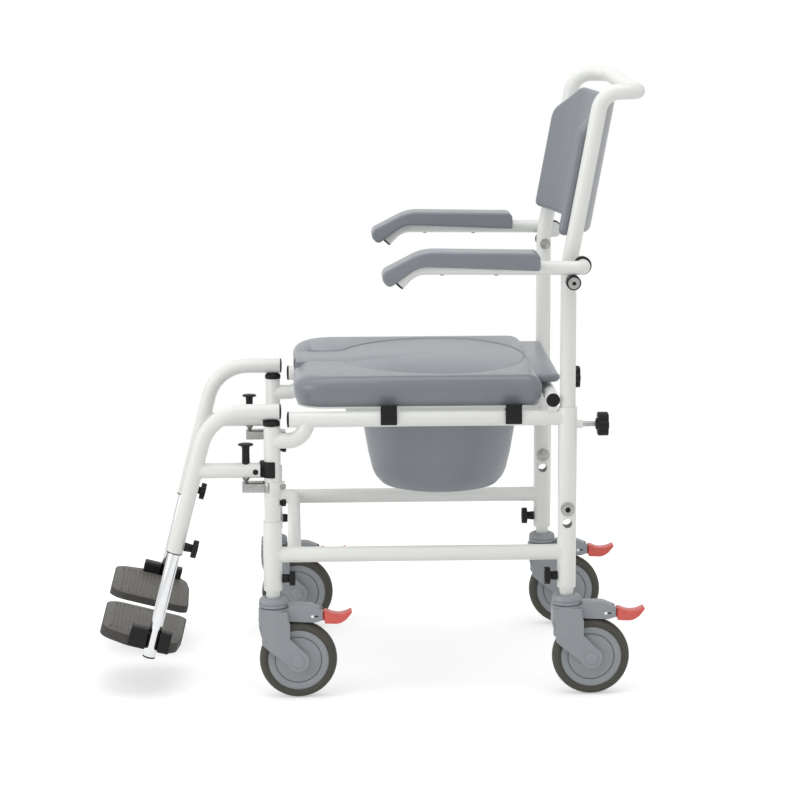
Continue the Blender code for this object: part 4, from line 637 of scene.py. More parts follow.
# Wheels: a nylon disc with a shallow round groove, and a moulded grey rubber tyre on its rim.
half_rim = [(0.0045, -0.0172), (0.0120, -0.0172), (0.0135, -0.0118), (0.0366, -0.0112), (0.0367, -0.0078)]
half_rim += [(0.0378, -0.0078), (0.0379, -0.0112), (0.0470, -0.0125), (0.0492, -0.0118)]
rim = half_rim + [(r, -h) for r, h in reversed(half_rim)]
rim = fitted(rim + rim[:1], AXLE, side_way, 0.0002, 72)
at_casters(rim, "wheel_disc_{}", "wheel_{}", caster_plastic, "caster_rim_{}")
half_tyre = [(0.0491, 0.0127), (0.0510, 0.0141), (0.0538, 0.0149), (0.0568, 0.0143), (0.0594, 0.0122)]
half_tyre += [(0.0613, 0.0088), (0.0622, 0.0050), (0.0625, 0.0020)]
tyre = half_tyre + [(r, -h) for r, h in reversed(half_tyre)]
tyre = fitted(tyre + tyre[:1], AXLE, side_way, 0, 96)
# Grey-green rubber: matt, a little scuffed on the tread, with a fine grain.
tyre_rubber = surface("tyre_rubber", "moulded_tyre_rubber", "#4c4b42", "#43423a", 14, 0.72, 0.08, 2.0, 0.05)
at_casters(tyre, "wheel_tyre_{}", "wheel_{}", tyre_rubber, "caster_tyre_{}")

# Brake pedals: red moulded nylon toe pedals, curved up at the tip, on a pin in the fork's housing.
blade = outline_of([
    (0.0819, 0.1425, 0.0015), (0.0826, 0.1222, 0.0015), (0.1065, 0.1210, 0.020),
    (0.1180, 0.1285, 0.020), (0.1268, 0.1402, 0.0018), (0.1256, 0.1430, 0.0012),
    (0.1130, 0.1372, 0.030), (0.0970, 0.1368, 0.030), (0.0880, 0.1415, 0.012),
])
root = arc_points(BRAKE_BACK, BRAKE_Z, 0.009, 90, 270, 14)
root += [(0.084, 0.1262), (0.084, 0.1408), (0.074, 0.1430)]
pedal = joined([rounded(side_slab(blade, 0, 0.012), 0.0016, 3), rounded(side_slab(root, 0, 0.006), 0.0005)])
# Red nylon: bright coral red moulding, half gloss, two close reds in soft patches.
pedal_plastic = surface(
    "pedal_plastic", "red_moulded_nylon", "#e2685d", "#d5574d", 10, 0.36, 0.06, 2.0, 0.015
)
at_casters(pedal, "brake_toe_{}", "brake_pedal_{}", pedal_plastic, "caster_brake_pedal_{}")


# Leg knobs: black moulded hand screws that clamp each caster stem at its height.
# The front ones stand behind their leg, the rear ones in front of theirs.
LEG_KNOB_Z, KNOB_STEM, KNOB_HEAD = 0.195, 0.0115, 0.0095


def lobed(radius, lobe, count, low, high, per=8):
    """A round head with shallow lobes round its edge, as a slab about Z."""
    angles = [2 * math.pi * i / (count * per) for i in range(count * per)]
    radii = [radius - lobe + 2 * lobe * abs(math.cos(count * a / 2)) ** 0.7 for a in angles]
    return slab([(r * math.cos(a), r * math.sin(a)) for r, a in zip(radii, angles)], low, high)


def hand_screw(stem_radius, stem, radius, head, lobe, count):
    """A clamping knob about Z: its stem starts at the origin, with a lobed head on top."""
    end = stem + 0.001
    body = turned([(0, 0.0003), (stem_radius * 1.05, 0.0003), (stem_radius * 0.9, end), (0, end)])
    top = lobed(radius - lobe, lobe, count, stem, stem + head)
    button = turned([(0, 0), (radius * 0.55, 0), (radius * 0.5, 0.0006), (0, 0.0009)])
    button = standing(button, (0, 0, stem + head - 0.0002))
    return joined([rounded(body, 0.0004), rounded(top, 0.0012, 3), rounded(button, 0.0002)])


for end, back, way, radius in (
    ("front", LEG_RADIUS, back_way, 0.012),
    ("rear", WHEELBASE - LEG_RADIUS, -back_way, 0.014),
):
    screw = hand_screw(0.00725, KNOB_STEM, radius, KNOB_HEAD, 0.0007, 10)
    screw = standing(screw, at(x, back, LEG_KNOB_Z), way)
    knob = f"leg_knob_{end}_{{}}"
    both_sides(screw, f"leg_screw_{end}_{{}}", knob, black_plastic, knob)
POST_SCREW_Z = 0.3190
screw = hand_screw(0.0040, 0.0025, 0.0058, 0.0075, 0.0004, 8)
screw = standing(screw, at(x, TUBE_RADIUS - 0.0004, POST_SCREW_Z), back_way)
both_sides(screw, "post_screw_{}", "frame", black_plastic)


# Back frame: one 25 mm steel tube bent twice at each side, from the left rear leg up, over the
# push handle and down to the right rear leg, with a short pivot boss for each armrest.
LEAN_Z, LEAN, HANDLE_Z, UPRIGHT_BOTTOM = 0.696, 0.185, 0.972, 0.4113
LEAN_BEND, HANDLE_BEND, HANDLE_CORNER, HANDLE_REACH = 0.150, 0.034, 0.029, 0.0579
ARM_PIVOT_BACK, ARM_Z, PIVOT_BOSS_X, PIVOT_RING_X = 0.492, 0.7015, 0.2505, 0.2502
handle_foot = WHEELBASE + (HANDLE_Z - LEAN_Z) * LEAN
upright = [
    at(x, WHEELBASE, UPRIGHT_BOTTOM),
    at(x, WHEELBASE, LEAN_Z),
    at(x, handle_foot, HANDLE_Z),
    at(x, handle_foot + HANDLE_REACH, HANDLE_Z),
]
bends = [LEAN_BEND, HANDLE_BEND, HANDLE_CORNER]
upright += [Vector((-p.x, p.y, p.z)) for p in reversed(upright)]
route = bent(upright, bends + bends[::-1], math.radians(4))
back_tube = rounded(tube(route, TUBE_RADIUS, sides=40))
settle(back_tube, "back_and_handle_tube", "back", frame_paint, "back_frame")
boss = [at(x, ARM_PIVOT_BACK, ARM_Z), at(PIVOT_BOSS_X, ARM_PIVOT_BACK, ARM_Z)]
boss = rounded(tube(boss, TUBE_RADIUS - 0.0004))
both_sides(boss, "arm_pivot_boss_{}", "back", frame_paint)
ring = [(0.008, 0), (0.0138, 0), (0.0143, 0.0012), (0.0143, 0.0106), (0.0138, 0.0118), (0.008, 0.0118)]
ring = fitted(ring + ring[:1], at(PIVOT_RING_X, ARM_PIVOT_BACK, ARM_Z), side_way)
both_sides(ring, "arm_pivot_ring_{}", "back", black_plastic)


# Star knobs: black moulded six-lobed hand screws on a plated rod, through the boss of each
# rear leg. They clamp the back frame in the legs.
NECK, HEAD, STAR_RADIUS = 0.024, 0.017, 0.0205
star = lobed(STAR_RADIUS - 0.003, 0.0022, 6, NECK, NECK + HEAD, 12)
collar = turned([(0, NECK - 0.003), (0.0085, NECK - 0.003), (0.0105, NECK + 0.001), (0, NECK + 0.001)])
star = joined([rounded(star, 0.0025, 4), rounded(collar, 0.0006)])
star = standing(star, at(x, boss_end, HAND_KNOB_Z), back_way)
both_sides(star, "star_knob_{}", "back_knob_{}", black_plastic, "back_knob_{}")
rod = [(0, -0.02), (0.004, -0.02), (0.004, NECK), (0, NECK)]
rod = fitted(rod, at(x, boss_end, HAND_KNOB_Z), back_way, steps=24)
both_sides(rod, "star_knob_rod_{}", "back_knob_{}", zinc)


# Backrest: a curved panel of moulded grey polyurethane foam with a closed skin, its side edges
# on the uprights and its top corners sloped. No sewn seams: the mould gives its soft edges.
BACK_HALF, BACK_SAG, BACK_THICK, EDGE_GAP = 0.229, 0.060, 0.017, 0.0012
BACK_BOTTOM, BACK_TOP, SHOULDER, TOP_HALF = 0.0465, 0.265, 0.2165, 0.150
half_outline = [(BACK_HALF, BACK_BOTTOM, 0.010), (BACK_HALF, SHOULDER, 0.030), (TOP_HALF, BACK_TOP, 0.030)]
panel = slab(outline_of(half_outline + [(-u, v, r) for u, v, r in reversed(half_outline)]), 0, BACK_THICK)


def sliced(piece, axis, low, high, count):
    """Cuts a piece's faces along planes square to an axis so that it can bend."""
    only(piece)
    mode("EDIT")
    for i in range(1, count):
        bpy.ops.mesh.select_all(action="SELECT")
        spot = [0.0, 0.0, 0.0]
        spot[axis] = low + (high - low) * i / count
        way = [float(k == axis) for k in range(3)]
        bpy.ops.mesh.bisect(plane_co=spot, plane_no=way)
    mode("OBJECT")
    return piece


panel = sliced(rounded(panel, 0.0075, 5), 0, -BACK_HALF, BACK_HALF, 36)
curve_radius = (BACK_HALF**2 + BACK_SAG**2) / (2 * BACK_SAG)
for vertex in panel.data.vertices:
    u, v, w = vertex.co
    spread = u / BACK_HALF * math.asin(BACK_HALF / curve_radius)
    radius = curve_radius - w
    rear = -TUBE_RADIUS - EDGE_GAP + BACK_SAG - curve_radius
    vertex.co = (radius * math.sin(spread), rear + radius * math.cos(spread), v)
panel.matrix_world = Matrix.Translation(at(0, WHEELBASE, LEAN_Z)) @ Matrix.Rotation(-math.atan(LEAN), 4, "X")
panel = rounded(closed(apply_all(panel)), 0, sharp=50)
# Moulded polyurethane foam with its own skin: cool mid grey, soft satin, pebbled like fine leather.
# The pebbles are about 1 mm on the real skin and are drawn at 2 mm so that they show.
seat_foam = surface(
    "seat_foam", "moulded_polyurethane_foam", "#82878e", "#7b8087", 60, 0.32, 0.05, 2.0, 0.035,
    Specular_IOR_Level=0.6,
)
settle(panel, "backrest_panel", "back", seat_foam, "backrest")


# Arm stops: a zinc-plated bolt through each upright, with a nut inside and a black rubber ring
# outside that carries the lowered armrest.
STOP_BACK, STOP_Z, STOP_RING_X, RING_LENGTH, RING_RADIUS = 0.475, 0.6787, 0.276, 0.0225, 0.0115
ring = [(0.0070, 0), (RING_RADIUS - 0.001, 0), (RING_RADIUS, 0.001), (RING_RADIUS, RING_LENGTH - 0.001)]
ring += [(RING_RADIUS - 0.001, RING_LENGTH), (0.0070, RING_LENGTH), (0.0070, 0)]
ring = fitted(ring, at(STOP_RING_X, STOP_BACK, STOP_Z), side_way)
both_sides(ring, "arm_stop_ring_{}", "back", black_plastic, "arm_stop_{}")
grip = STOP_RING_X + RING_LENGTH - HALF_TRACK + TUBE_RADIUS
spot = at(STOP_RING_X + RING_LENGTH, STOP_BACK, STOP_Z)
through_bolt("arm_stop", "back", spot, 0.0092, 0.0062, grip, 0.0055)
SLEEVE = 0.0335
sleeve = [(0.004, 0), (0.0068, 0), (0.0068, SLEEVE), (0.004, SLEEVE), (0.004, 0)]
sleeve = fitted(sleeve, at(HALF_TRACK + TUBE_RADIUS - 0.0008, STOP_BACK, STOP_Z), side_way)
both_sides(sleeve, "arm_stop_sleeve_{}", "back", zinc)


# Armrests: 22 mm steel tubes that turn up about the pivot behind the upright, bent down at the
# nose, each with a moulded foam pad screwed on from below and a plug in its nose.
ARM_X, ARM_RADIUS, ARM_INNER_X = 0.288, 0.011, 0.2622
NOSE_CORNER, NOSE_END, ARM_RISE = 0.2244, (0.2007, 0.6795), 0.0025
arm = [
    at(ARM_INNER_X, ARM_PIVOT_BACK, ARM_Z),
    at(ARM_X, ARM_PIVOT_BACK, ARM_Z),
    at(ARM_X, NOSE_CORNER, ARM_Z + ARM_RISE),
    at(ARM_X, *NOSE_END),
]
arm_tube = rounded(tube(bent(arm, [0.016, 0.045], math.radians(5)), ARM_RADIUS))
both_sides(arm_tube, "armrest_tube_{}", "arm_{}", frame_paint, "arm_tube_{}")
plug = fitted(dome(ARM_RADIUS + 0.0002, 0.0022), arm[3], arm[3] - arm[2])
both_sides(plug, "armrest_plug_{}", "arm_{}", black_plastic)
pad_side = outline_of([
    (0.4213, 0.7000, 0.004), (0.4213, 0.7280, 0.010), (0.2380, 0.7312, 0.075), (0.1650, 0.6935, 0.013),
    (0.1865, 0.6752, 0.008), (0.2330, 0.7080, 0.042),
], math.radians(5))
PAD_HALF, SCREW_BACKS = 0.0285, (0.269, 0.354)
pad = slab([(FRONT_Y + u, v) for u, v in pad_side], -PAD_HALF, PAD_HALF)
pad.matrix_world = Matrix.Translation((ARM_X, 0, 0)) @ SIDE
pad = rounded(closed(apply_all(pad)), 0.009, 6)
for pad in both_sides(pad, "armrest_pad_{}", "arm_{}", seat_foam, "arm_pad_{}"):
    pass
head = [(0, -0.0014), (0.0022, -0.0014), (0.0034, -0.0008), (0.0036, 0.0004), (0, 0.0004)]
screws = []
for back in SCREW_BACKS:
    under = ARM_Z - ARM_RADIUS + ARM_RISE * (ARM_PIVOT_BACK - back) / (ARM_PIVOT_BACK - NOSE_CORNER)
    screws.append(fitted(head, at(ARM_X, back, under), edge=0.0002, steps=20))
both_sides(joined(screws), "armrest_screws_{}", "arm_{}", zinc)


# Leg rest hangers: a bent 25 mm tube over each front post and a strut to the post's middle,
# welded and coated. They lift off and swing aside about the front posts.
HANGER_TOP_Z, HANGER_REAR, HANGER_BEND, SLOPE = 0.467, 0.013, 0.070, 0.258
AXIS_BACK, AXIS_Z, HANGER_BOTTOM = -0.1565, 0.2415, 0.240
STRUT_Z, STRUT_END, STRUT_RADIUS, STRUT_SCREW_BACK = 0.3725, -0.0185, 0.0122, -0.0259
DOWN = Vector((0, -SLOPE, -1)).normalized()
BEHIND = Vector((0, 1, -SLOPE)).normalized()


def on_tube(z):
    """The point at a height on the left leg rest tube's axis."""
    return at(x, AXIS_BACK + (z - AXIS_Z) * SLOPE, z)


route = bent([at(x, HANGER_REAR, HANGER_TOP_Z), on_tube(HANGER_TOP_Z), on_tube(HANGER_BOTTOM)], [HANGER_BEND])
hanger = rounded(tube(route, TUBE_RADIUS, 0.0021, sides=40))
both_sides(hanger, "hanger_tube_{}", "hanger_{}", frame_paint, "leg_rest_hanger_{}")
strut = closed(tube([on_tube(STRUT_Z), at(x, STRUT_END, STRUT_Z)], STRUT_RADIUS))
mitre = tube([on_tube(STRUT_Z + 0.04), on_tube(STRUT_Z - 0.04)], TUBE_RADIUS - 0.0012, sides=40)
strut = rounded(cut(strut, mitre), 0.0003)
both_sides(strut, "hanger_strut_{}", "hanger_{}", frame_paint)
bead = []
for angle in BEAD_ANGLES:
    off, high = STRUT_RADIUS * math.cos(angle), STRUT_RADIUS * math.sin(angle)
    reach = math.sqrt(TUBE_RADIUS**2 - off**2) / math.cos(math.atan(SLOPE))
    bead.append(on_tube(STRUT_Z) + Vector((off, reach + high * SLOPE, high)))
bead = rounded(tube(bead, BEAD_RADIUS, sides=8, ring=True), 0)
both_sides(bead, "hanger_weld_{}", "hanger_{}", frame_paint)
plug = fitted(dome(TUBE_RADIUS, 0.0016), at(x, HANGER_REAR, HANGER_TOP_Z), back_way)
both_sides(plug, "hanger_plug_{}", "hanger_{}", black_plastic)
ring = [(0.0101, -0.002), (0.0101, 0.0016), (0.0128, 0.0016), (0.0128, 0), (0.0106, 0), (0.0106, -0.002)]
ring = fitted(ring + ring[:1], on_tube(HANGER_BOTTOM), DOWN, 0.0002)
both_sides(ring, "hanger_end_ring_{}", "hanger_{}", black_plastic)
head = [(0, 0.0022), (0.0018, 0.0022), (0.0040, 0.0016), (0.0046, 0.0004), (0.0046, -0.001), (0, -0.001)]
spot = at(x + STRUT_RADIUS - 0.0006, STRUT_SCREW_BACK, STRUT_Z - 0.001)
screw = fitted(head, spot, side_way, 0.0002, 24)
both_sides(screw, "strut_screw_{}", "hanger_{}", black_plastic)


# Saddles: black moulded nylon cradles on the struts' ends that hug the front posts.
SADDLE_LOW, SADDLE_HIGH, NOSE_FROM, NOSE = 0.3616, 0.3877, -0.0135, 0.0045


def arc(radius, degrees):
    """Points round the origin at the given angles."""
    return [(radius * math.cos(a), radius * math.sin(a)) for a in map(math.radians, degrees)]


inner, outer = TUBE_RADIUS + 0.0004, TUBE_RADIUS + 0.0024
saddle = [(u, v if v > NOSE_FROM else v - NOSE) for u, v in arc(outer, range(22, -203, -9))]
cradle = slab(saddle + arc(inner, range(-202, 23, 9)), SADDLE_LOW, SADDLE_HIGH)
cradle = standing(rounded(cradle, 0.0006), at(x, 0, 0))
both_sides(cradle, "post_cradle_{}", "hanger_{}", black_plastic, "hanger_saddle_{}")


# Latches: a black mushroom button on a spring plunger through each strut, and a folded
# zinc-plated catch bracket strapped round the post with one bolt behind it.
LATCH_BACK = -0.0413
button = [(0, 0.4166), (0.0070, 0.4164), (0.0112, 0.4158), (0.0124, 0.4148), (0.0124, 0.4136)]
button += [(0.0100, 0.4128), (0.0066, 0.4116), (0.0060, 0.4060), (0.0064, 0.3820), (0, 0.3820)]
button = fitted(button, at(x, LATCH_BACK, 0))
both_sides(button, "latch_button_{}", "latch_{}", black_plastic, "latch_pin_{}")
funnel = [(0.0032, 0.3625), (0.0085, 0.3625), (0.0052, 0.3585), (0.0040, 0.3560), (0.0032, 0.3560)]
funnel = fitted(funnel + funnel[:1], at(x, LATCH_BACK, 0), edge=0.0002)
both_sides(funnel, "latch_guide_{}", "hanger_{}", zinc)
pin = [(0, 0.3540), (0.0028, 0.3540), (0.0028, 0.3800), (0, 0.3800)]
pin = fitted(pin, at(x, LATCH_BACK, 0), steps=20)
both_sides(pin, "latch_plunger_{}", "latch_{}", zinc)
LOW, HIGH, STRAP_END, CATCH_END, CATCH_HALF = 0.3375, 0.3536, 0.021, -0.0474, 0.009
strap_in, strap_out = TUBE_RADIUS + 0.0003, TUBE_RADIUS + 0.0025
band = []
for sign in (1, -1):
    angles = [90 - sign * d for d in range(20, 108, 8)]
    strap = [(sign * 0.0045, STRAP_END), *arc(strap_out, angles)]
    strap += [*arc(strap_in, reversed(angles)), (sign * 0.0023, STRAP_END)]
    band.append(rounded(slab(strap, LOW, HIGH), 0.0004))
band = standing(joined(band), at(x, 0, 0))
both_sides(band, "catch_strap_{}", "frame", frame_paint)
angles = range(-163, -16, 7)
wings = slab(arc(strap_out, angles) + arc(strap_in, reversed(angles)), LOW, HIGH)
channel = [(-CATCH_HALF, CATCH_END, 0.004), (CATCH_HALF, CATCH_END, 0.004)]
channel = outline_of([(-CATCH_HALF, -0.010), *channel, (CATCH_HALF, -0.010)])
top_plate = rounded(slab(channel, HIGH - 0.0022, HIGH), 0.0004)
skirt = []
for sign in (1, -1):
    wall = [(0.0068, -0.011), (CATCH_HALF, -0.011), (CATCH_HALF, -0.0455), (0.0068, -0.0455)]
    skirt.append(rounded(slab([(sign * u, v) for u, v in wall], LOW, HIGH), 0.0005))
nose = [(-0.0085, CATCH_END), (0.0085, CATCH_END), (0.0085, -0.0450), (-0.0085, -0.0450)]
nose = rounded(slab(nose, LOW, HIGH - 0.001), 0.0005)
bracket = standing(joined([rounded(wings, 0.0004), top_plate, nose, *skirt]), at(x, 0, 0))
both_sides(bracket, "catch_bracket_{}", "frame", zinc, "latch_bracket_{}")
bolt = socket_bolt(0.0050, 0.0042, HEAD_HEIGHT, 0.009, 0.003)
bolt = standing(bolt, at(x + 0.0045, 0.0175, 0.3455), side_way)
both_sides(bolt, "strap_bolt_{}", "frame", zinc)


# Leg rest tubes: 20 mm chrome-plated tubes that slide in the hangers, each clamped by a black
# knob behind it and closed with a plug at its lower end.
INNER_RADIUS, INNER_TOP, INNER_BOTTOM, LENGTH_KNOB_Z = 0.010, 0.320, 0.067, 0.252
foot = on_tube(INNER_BOTTOM + 0.0025)
sliding = rounded(tube([on_tube(INNER_TOP), foot], INNER_RADIUS, 0.0015))
both_sides(sliding, "sliding_tube_{}", "leg_tube_{}", chrome, "leg_rest_tube_{}")
plug = fitted(dome(INNER_RADIUS + 0.0003, 0.0018), foot, DOWN)
both_sides(plug, "sliding_tube_plug_{}", "leg_tube_{}", black_plastic)
screw = hand_screw(0.007, 0.013, 0.0145, 0.009, 0.0009, 10)
screw = standing(screw, on_tube(LENGTH_KNOB_Z) + BEHIND * TUBE_RADIUS, BEHIND)
both_sides(screw, "length_screw_{}", "length_knob_{}", black_plastic, "length_knob_{}")


# Footplates: dark grey moulded polypropylene plates with ribs across, worn and painted lighter on top, two
# hinge blocks round the leg rest tube and a steel pin through them. They fold up inwards.
FOOT_HINGE_Z, FOOT_TOP, FOOT_THICK, FOOT_THIN = 0.106, -0.011, 0.0165, 0.0118
FOOT_INNER, FOOT_OUTER, FOOT_FRONT, FOOT_REAR = 0.032 - HALF_TRACK, 0.008, -0.086, 0.050
TREAD_EDGE, RIB_COUNT, RIB_MARGIN, RIB_SHARE, RIB_ROUND = 0.002, 17, 0.012, 0.3, 0.002
foot_turn = Matrix((side_way, BEHIND, -DOWN)).transposed().to_4x4()
foot_frame = Matrix.Translation(on_tube(FOOT_HINGE_Z)) @ foot_turn


def on_foot(piece, edge=0.0006, segments=2):
    """Rounds a piece that was made about the footplate's hinge and moves it there."""
    piece = rounded(piece, edge, segments)
    piece.matrix_world = foot_frame
    return apply_all(piece)


board = outline_of([
    (FOOT_INNER, FOOT_FRONT, 0.030), (-0.012, FOOT_FRONT, 0.034), (FOOT_OUTER, FOOT_FRONT * 0.45, 0.015),
    (FOOT_OUTER, -0.0115, 0.001), (-0.012, -0.0115, 0.002), (-0.012, 0.0115, 0.002),
    (FOOT_OUTER, 0.0115, 0.001), (FOOT_OUTER, 0.024, 0.010), (-0.016, 0.041, 0.030),
    (-0.062, 0.047, 0.060), (FOOT_INNER, FOOT_REAR, 0.018),
])
board = slab(board, FOOT_TOP - FOOT_THICK, FOOT_TOP)
for vertex in board.data.vertices:
    if vertex.co.z < FOOT_TOP - 0.001:
        vertex.co.z += (FOOT_THICK - FOOT_THIN) * (FOOT_OUTER - vertex.co.x) / (FOOT_OUTER - FOOT_INNER)
# Dark grey-brown polypropylene: matt moulding, a little dusty. It shows on the plates' sides and edges, which
# are kept darker than the tread as painted shade.
footplate_plastic = surface(
    "footplate_plastic", "moulded_polypropylene", "#302e2c", "#3b3936", 18, 0.62, 0.10, 2.0, 0.05
)
# The tread and ribs: paler than the board, partly from wear where feet rub and partly as painted light on the
# top faces.
worn_and_lit_plastic = surface(
    "footplate_plastic", "worn_and_lit_polypropylene", "#6a6863", "#56544f", 12, 0.58, 0.10, 1.5, 0.06
)
# The hinge blocks and the studs are black polyethylene, paired with the footplate's slot name.
block_plastic = ("footplate_plastic", black_plastic[1])
board = on_foot(board, 0.0022, 4)
both_sides(board, "footplate_board_{}", "footplate_{}", footplate_plastic, "footplate_{}")
near, far, front = FOOT_INNER + TREAD_EDGE, FOOT_OUTER - TREAD_EDGE, FOOT_FRONT + TREAD_EDGE
tread = outline_of([
    (near, front, 0.028), (-0.013, front, 0.032), (far, FOOT_FRONT * 0.45, 0.014), (far, -0.0135, 0.001),
    (-0.014, -0.0135, 0.002), (-0.014, 0.0135, 0.002), (far, 0.0135, 0.001), (far, 0.0225, 0.008),
    (-0.017, 0.0395, 0.028), (-0.062, 0.045, 0.058), (near, FOOT_REAR - TREAD_EDGE, 0.016),
])
ribs = [slab(tread, FOOT_TOP - 0.001, FOOT_TOP + 0.0002)]
near = FOOT_INNER + 0.010
pitch = (FOOT_REAR - FOOT_FRONT - 2 * RIB_MARGIN) / RIB_COUNT
for i in range(RIB_COUNT):
    middle = FOOT_FRONT + RIB_MARGIN + (i + 0.5) * pitch
    outer = -0.036 if i == 0 else (-0.015 if abs(middle) > 0.014 else -0.020)
    if middle > 0.026:
        outer = -0.034
    low, high = middle - pitch * RIB_SHARE, middle + pitch * RIB_SHARE
    rib = [(*corner, RIB_ROUND) for corner in ((near, low), (outer, low), (outer, high), (near, high))]
    ribs.append(slab(outline_of(rib, math.radians(45)), FOOT_TOP - 0.001, FOOT_TOP + 0.0007))
both_sides(on_foot(joined(ribs), 0.0005), "footplate_ribs_{}", "footplate_{}", worn_and_lit_plastic)
face = [(-0.0135, -0.0265), (0.0130, -0.0265, 0.003), (0.0130, 0.0070, 0.005), (-0.0135, 0.0070, 0.005)]
face = outline_of(face)
blocks = []
for start, end in ((-0.0385, -0.0100), (0.0100, 0.0285)):
    block = slab(face, -end, -start)
    block.matrix_world = Matrix.Rotation(math.pi / 2, 4, "X")
    blocks.append(apply_all(block))
both_sides(on_foot(joined(blocks), 0.0012, 3), "footplate_blocks_{}", "footplate_{}", block_plastic)
dot = [(0, -0.0010), (0.0020, -0.0010), (0.0020, 0.0004), (0.0014, 0.0009), (0, 0.0009)]
dots = []
for sideways, start, step, count in ((-0.028, -0.072, 0.0098, 4), (-0.177, -0.069, 0.0130, 5)):
    for i in range(count):
        dots.append(standing(turned(dot, 12), (sideways, start + i * step, FOOT_TOP)))
both_sides(on_foot(joined(dots), 0), "footplate_studs_{}", "footplate_{}", block_plastic)
PIN_FRONT, PIN_REAR, PIN_RADIUS = -0.0390, 0.0290, 0.003
pin = tube([(0, PIN_FRONT, 0), (0, PIN_REAR, 0)], PIN_RADIUS, sides=20)
both_sides(on_foot(pin, 0.0005), "footplate_pin_{}", "footplate_{}", zinc)


# Seat base: a white moulded board under the pad, with two guide runners for the bucket and four
# clips that snap over the seat rails. The pad and board lift off as one.
SEAT_FRONT, SEAT_REAR, SEAT_HALF, SEAT_TOP, PAD_BOTTOM = 0.036, 0.434, 0.226, 0.520, 0.4725
SEAT_CORNER, BASE_INSET, BASE_BOTTOM, BUCKET_BACK = 0.050, 0.0055, 0.4694, 0.279
RUNNER_INNER, RUNNER_WALL, LEDGE, RUNNER_BOTTOM = 0.1495, 0.0025, 0.0125, 0.446
RUNNER_FRONT, RUNNER_REAR, BUCKET_HOLE = 0.120, 0.428, 0.118


def plan(half, front, rear, corner, tight):
    """A seat's outline seen from above, from the radii of its front corners and its rear corners."""
    corners = [(half, front, corner), (half, rear, tight), (-half, rear, tight), (-half, front, corner)]
    return outline_of(corners, math.radians(6))


inset = BASE_INSET
board = plan(SEAT_HALF - inset, SEAT_FRONT + inset, SEAT_REAR - inset, SEAT_CORNER, SEAT_CORNER * 0.4)
board = slab([(u, FRONT_Y + v) for u, v in board], BASE_BOTTOM, PAD_BOTTOM - 0.0003)
drill = turned([(0, 0.45), (BUCKET_HOLE, 0.45), (BUCKET_HOLE, 0.50), (0, 0.50)], 64)
board = rounded(cut(board, standing(drill, at(0, BUCKET_BACK, 0))), 0.0008)
profile = [
    (RUNNER_INNER - LEDGE, RUNNER_BOTTOM), (RUNNER_INNER + RUNNER_WALL, RUNNER_BOTTOM),
    (RUNNER_INNER + RUNNER_WALL, BASE_BOTTOM + 0.001), (RUNNER_INNER, BASE_BOTTOM + 0.001),
    (RUNNER_INNER, RUNNER_BOTTOM + 0.003), (RUNNER_INNER - LEDGE, RUNNER_BOTTOM + 0.003),
]
runners = []
for sign in (1, -1):
    runner = slab([(sign * u, v) for u, v in profile], -RUNNER_REAR, -RUNNER_FRONT)
    runner.matrix_world = Matrix.Translation(at(0, 0, 0)) @ Matrix.Rotation(math.pi / 2, 4, "X")
    runners.append(rounded(closed(apply_all(runner)), 0.0006))
# White polypropylene: even satin moulding, very slightly grey, smooth.
board_plastic = surface(
    "board_plastic", "white_polypropylene", "#e9ebe9", "#e2e4e2", 60, 0.40, 0.05, 2.5, 0.012
)
settle(joined([board, *runners]), "seat_board", "seat", board_plastic, "seat_base")

# Seat clips: black moulded nylon, sprung over the seat rails from above, one near each corner.
# Each has a flat top and a tongue up the outer side.
CLIP_HALF, CLIP_TOP, TONGUE, TONGUE_TOP = 0.013, 0.0145, 0.0024, 0.024
CLIP_BACKS = (("front", 0.1868), ("rear", 0.386))
inner, outer = TUBE_RADIUS + 0.0003, TUBE_RADIUS + 0.0035
angles = range(-32, 213, 8)
shape = [(u, min(v, CLIP_TOP)) for u, v in arc(outer, [d for d in angles if not 0 < d < 60])]
shape[5:5] = [(outer, TONGUE_TOP), (outer - TONGUE, TONGUE_TOP), (outer - TONGUE, CLIP_TOP)]
shape += arc(inner, reversed(angles))
for end, back in CLIP_BACKS:
    clip = slab(shape, -CLIP_HALF, CLIP_HALF)
    clip.matrix_world = Matrix.Translation(at(x, back, SEAT_RAIL_Z)) @ Matrix.Rotation(math.pi / 2, 4, "X")
    clip = rounded(apply_all(clip), 0.0006)
    both_sides(clip, f"rail_clip_{end}_{{}}", "seat", black_plastic, f"seat_clip_{end}_{{}}")


# Seat pad: one moulding of grey polyurethane foam with its own skin, soft top edges, a keyhole
# opening that runs to the front, two clip notches in each lower edge, and a tab at the rear.
OPENING_BACK, OPENING_HALF, OPENING_REAR, OPENING_FRONT = 0.285, 0.190, 0.136, 0.176
CHANNEL_HALF, CHANNEL_TURN, INSERT_GAP, INSERT_TOP = 0.057, 0.024, 0.0006, 0.5192


def keyhole(grow, front):
    """The opening's outline from above: an egg shape with a channel out to the front edge."""
    wide, deep, channel = OPENING_HALF + grow, OPENING_FRONT + grow, CHANNEL_HALF + grow
    angles = [math.pi * i / 40 for i in range(41)]
    rear = [(wide * math.cos(a), OPENING_BACK + (OPENING_REAR + grow) * math.sin(a)) for a in angles]
    meet, last = math.acos(channel / wide), math.acos((channel + CHANNEL_TURN) / wide)
    angles = [last * i / 12 for i in range(1, 13)]
    flare = [(wide * math.cos(a), OPENING_BACK - deep * math.sin(a)) for a in angles]
    flare += [(channel, OPENING_BACK - deep * math.sin(meet), CHANNEL_TURN), (channel, front)]
    left = [(-entry[0], *entry[1:]) for entry in flare]
    return [(u, FRONT_Y + v) for u, v in outline_of(rear + left + flare[::-1], math.radians(8))]


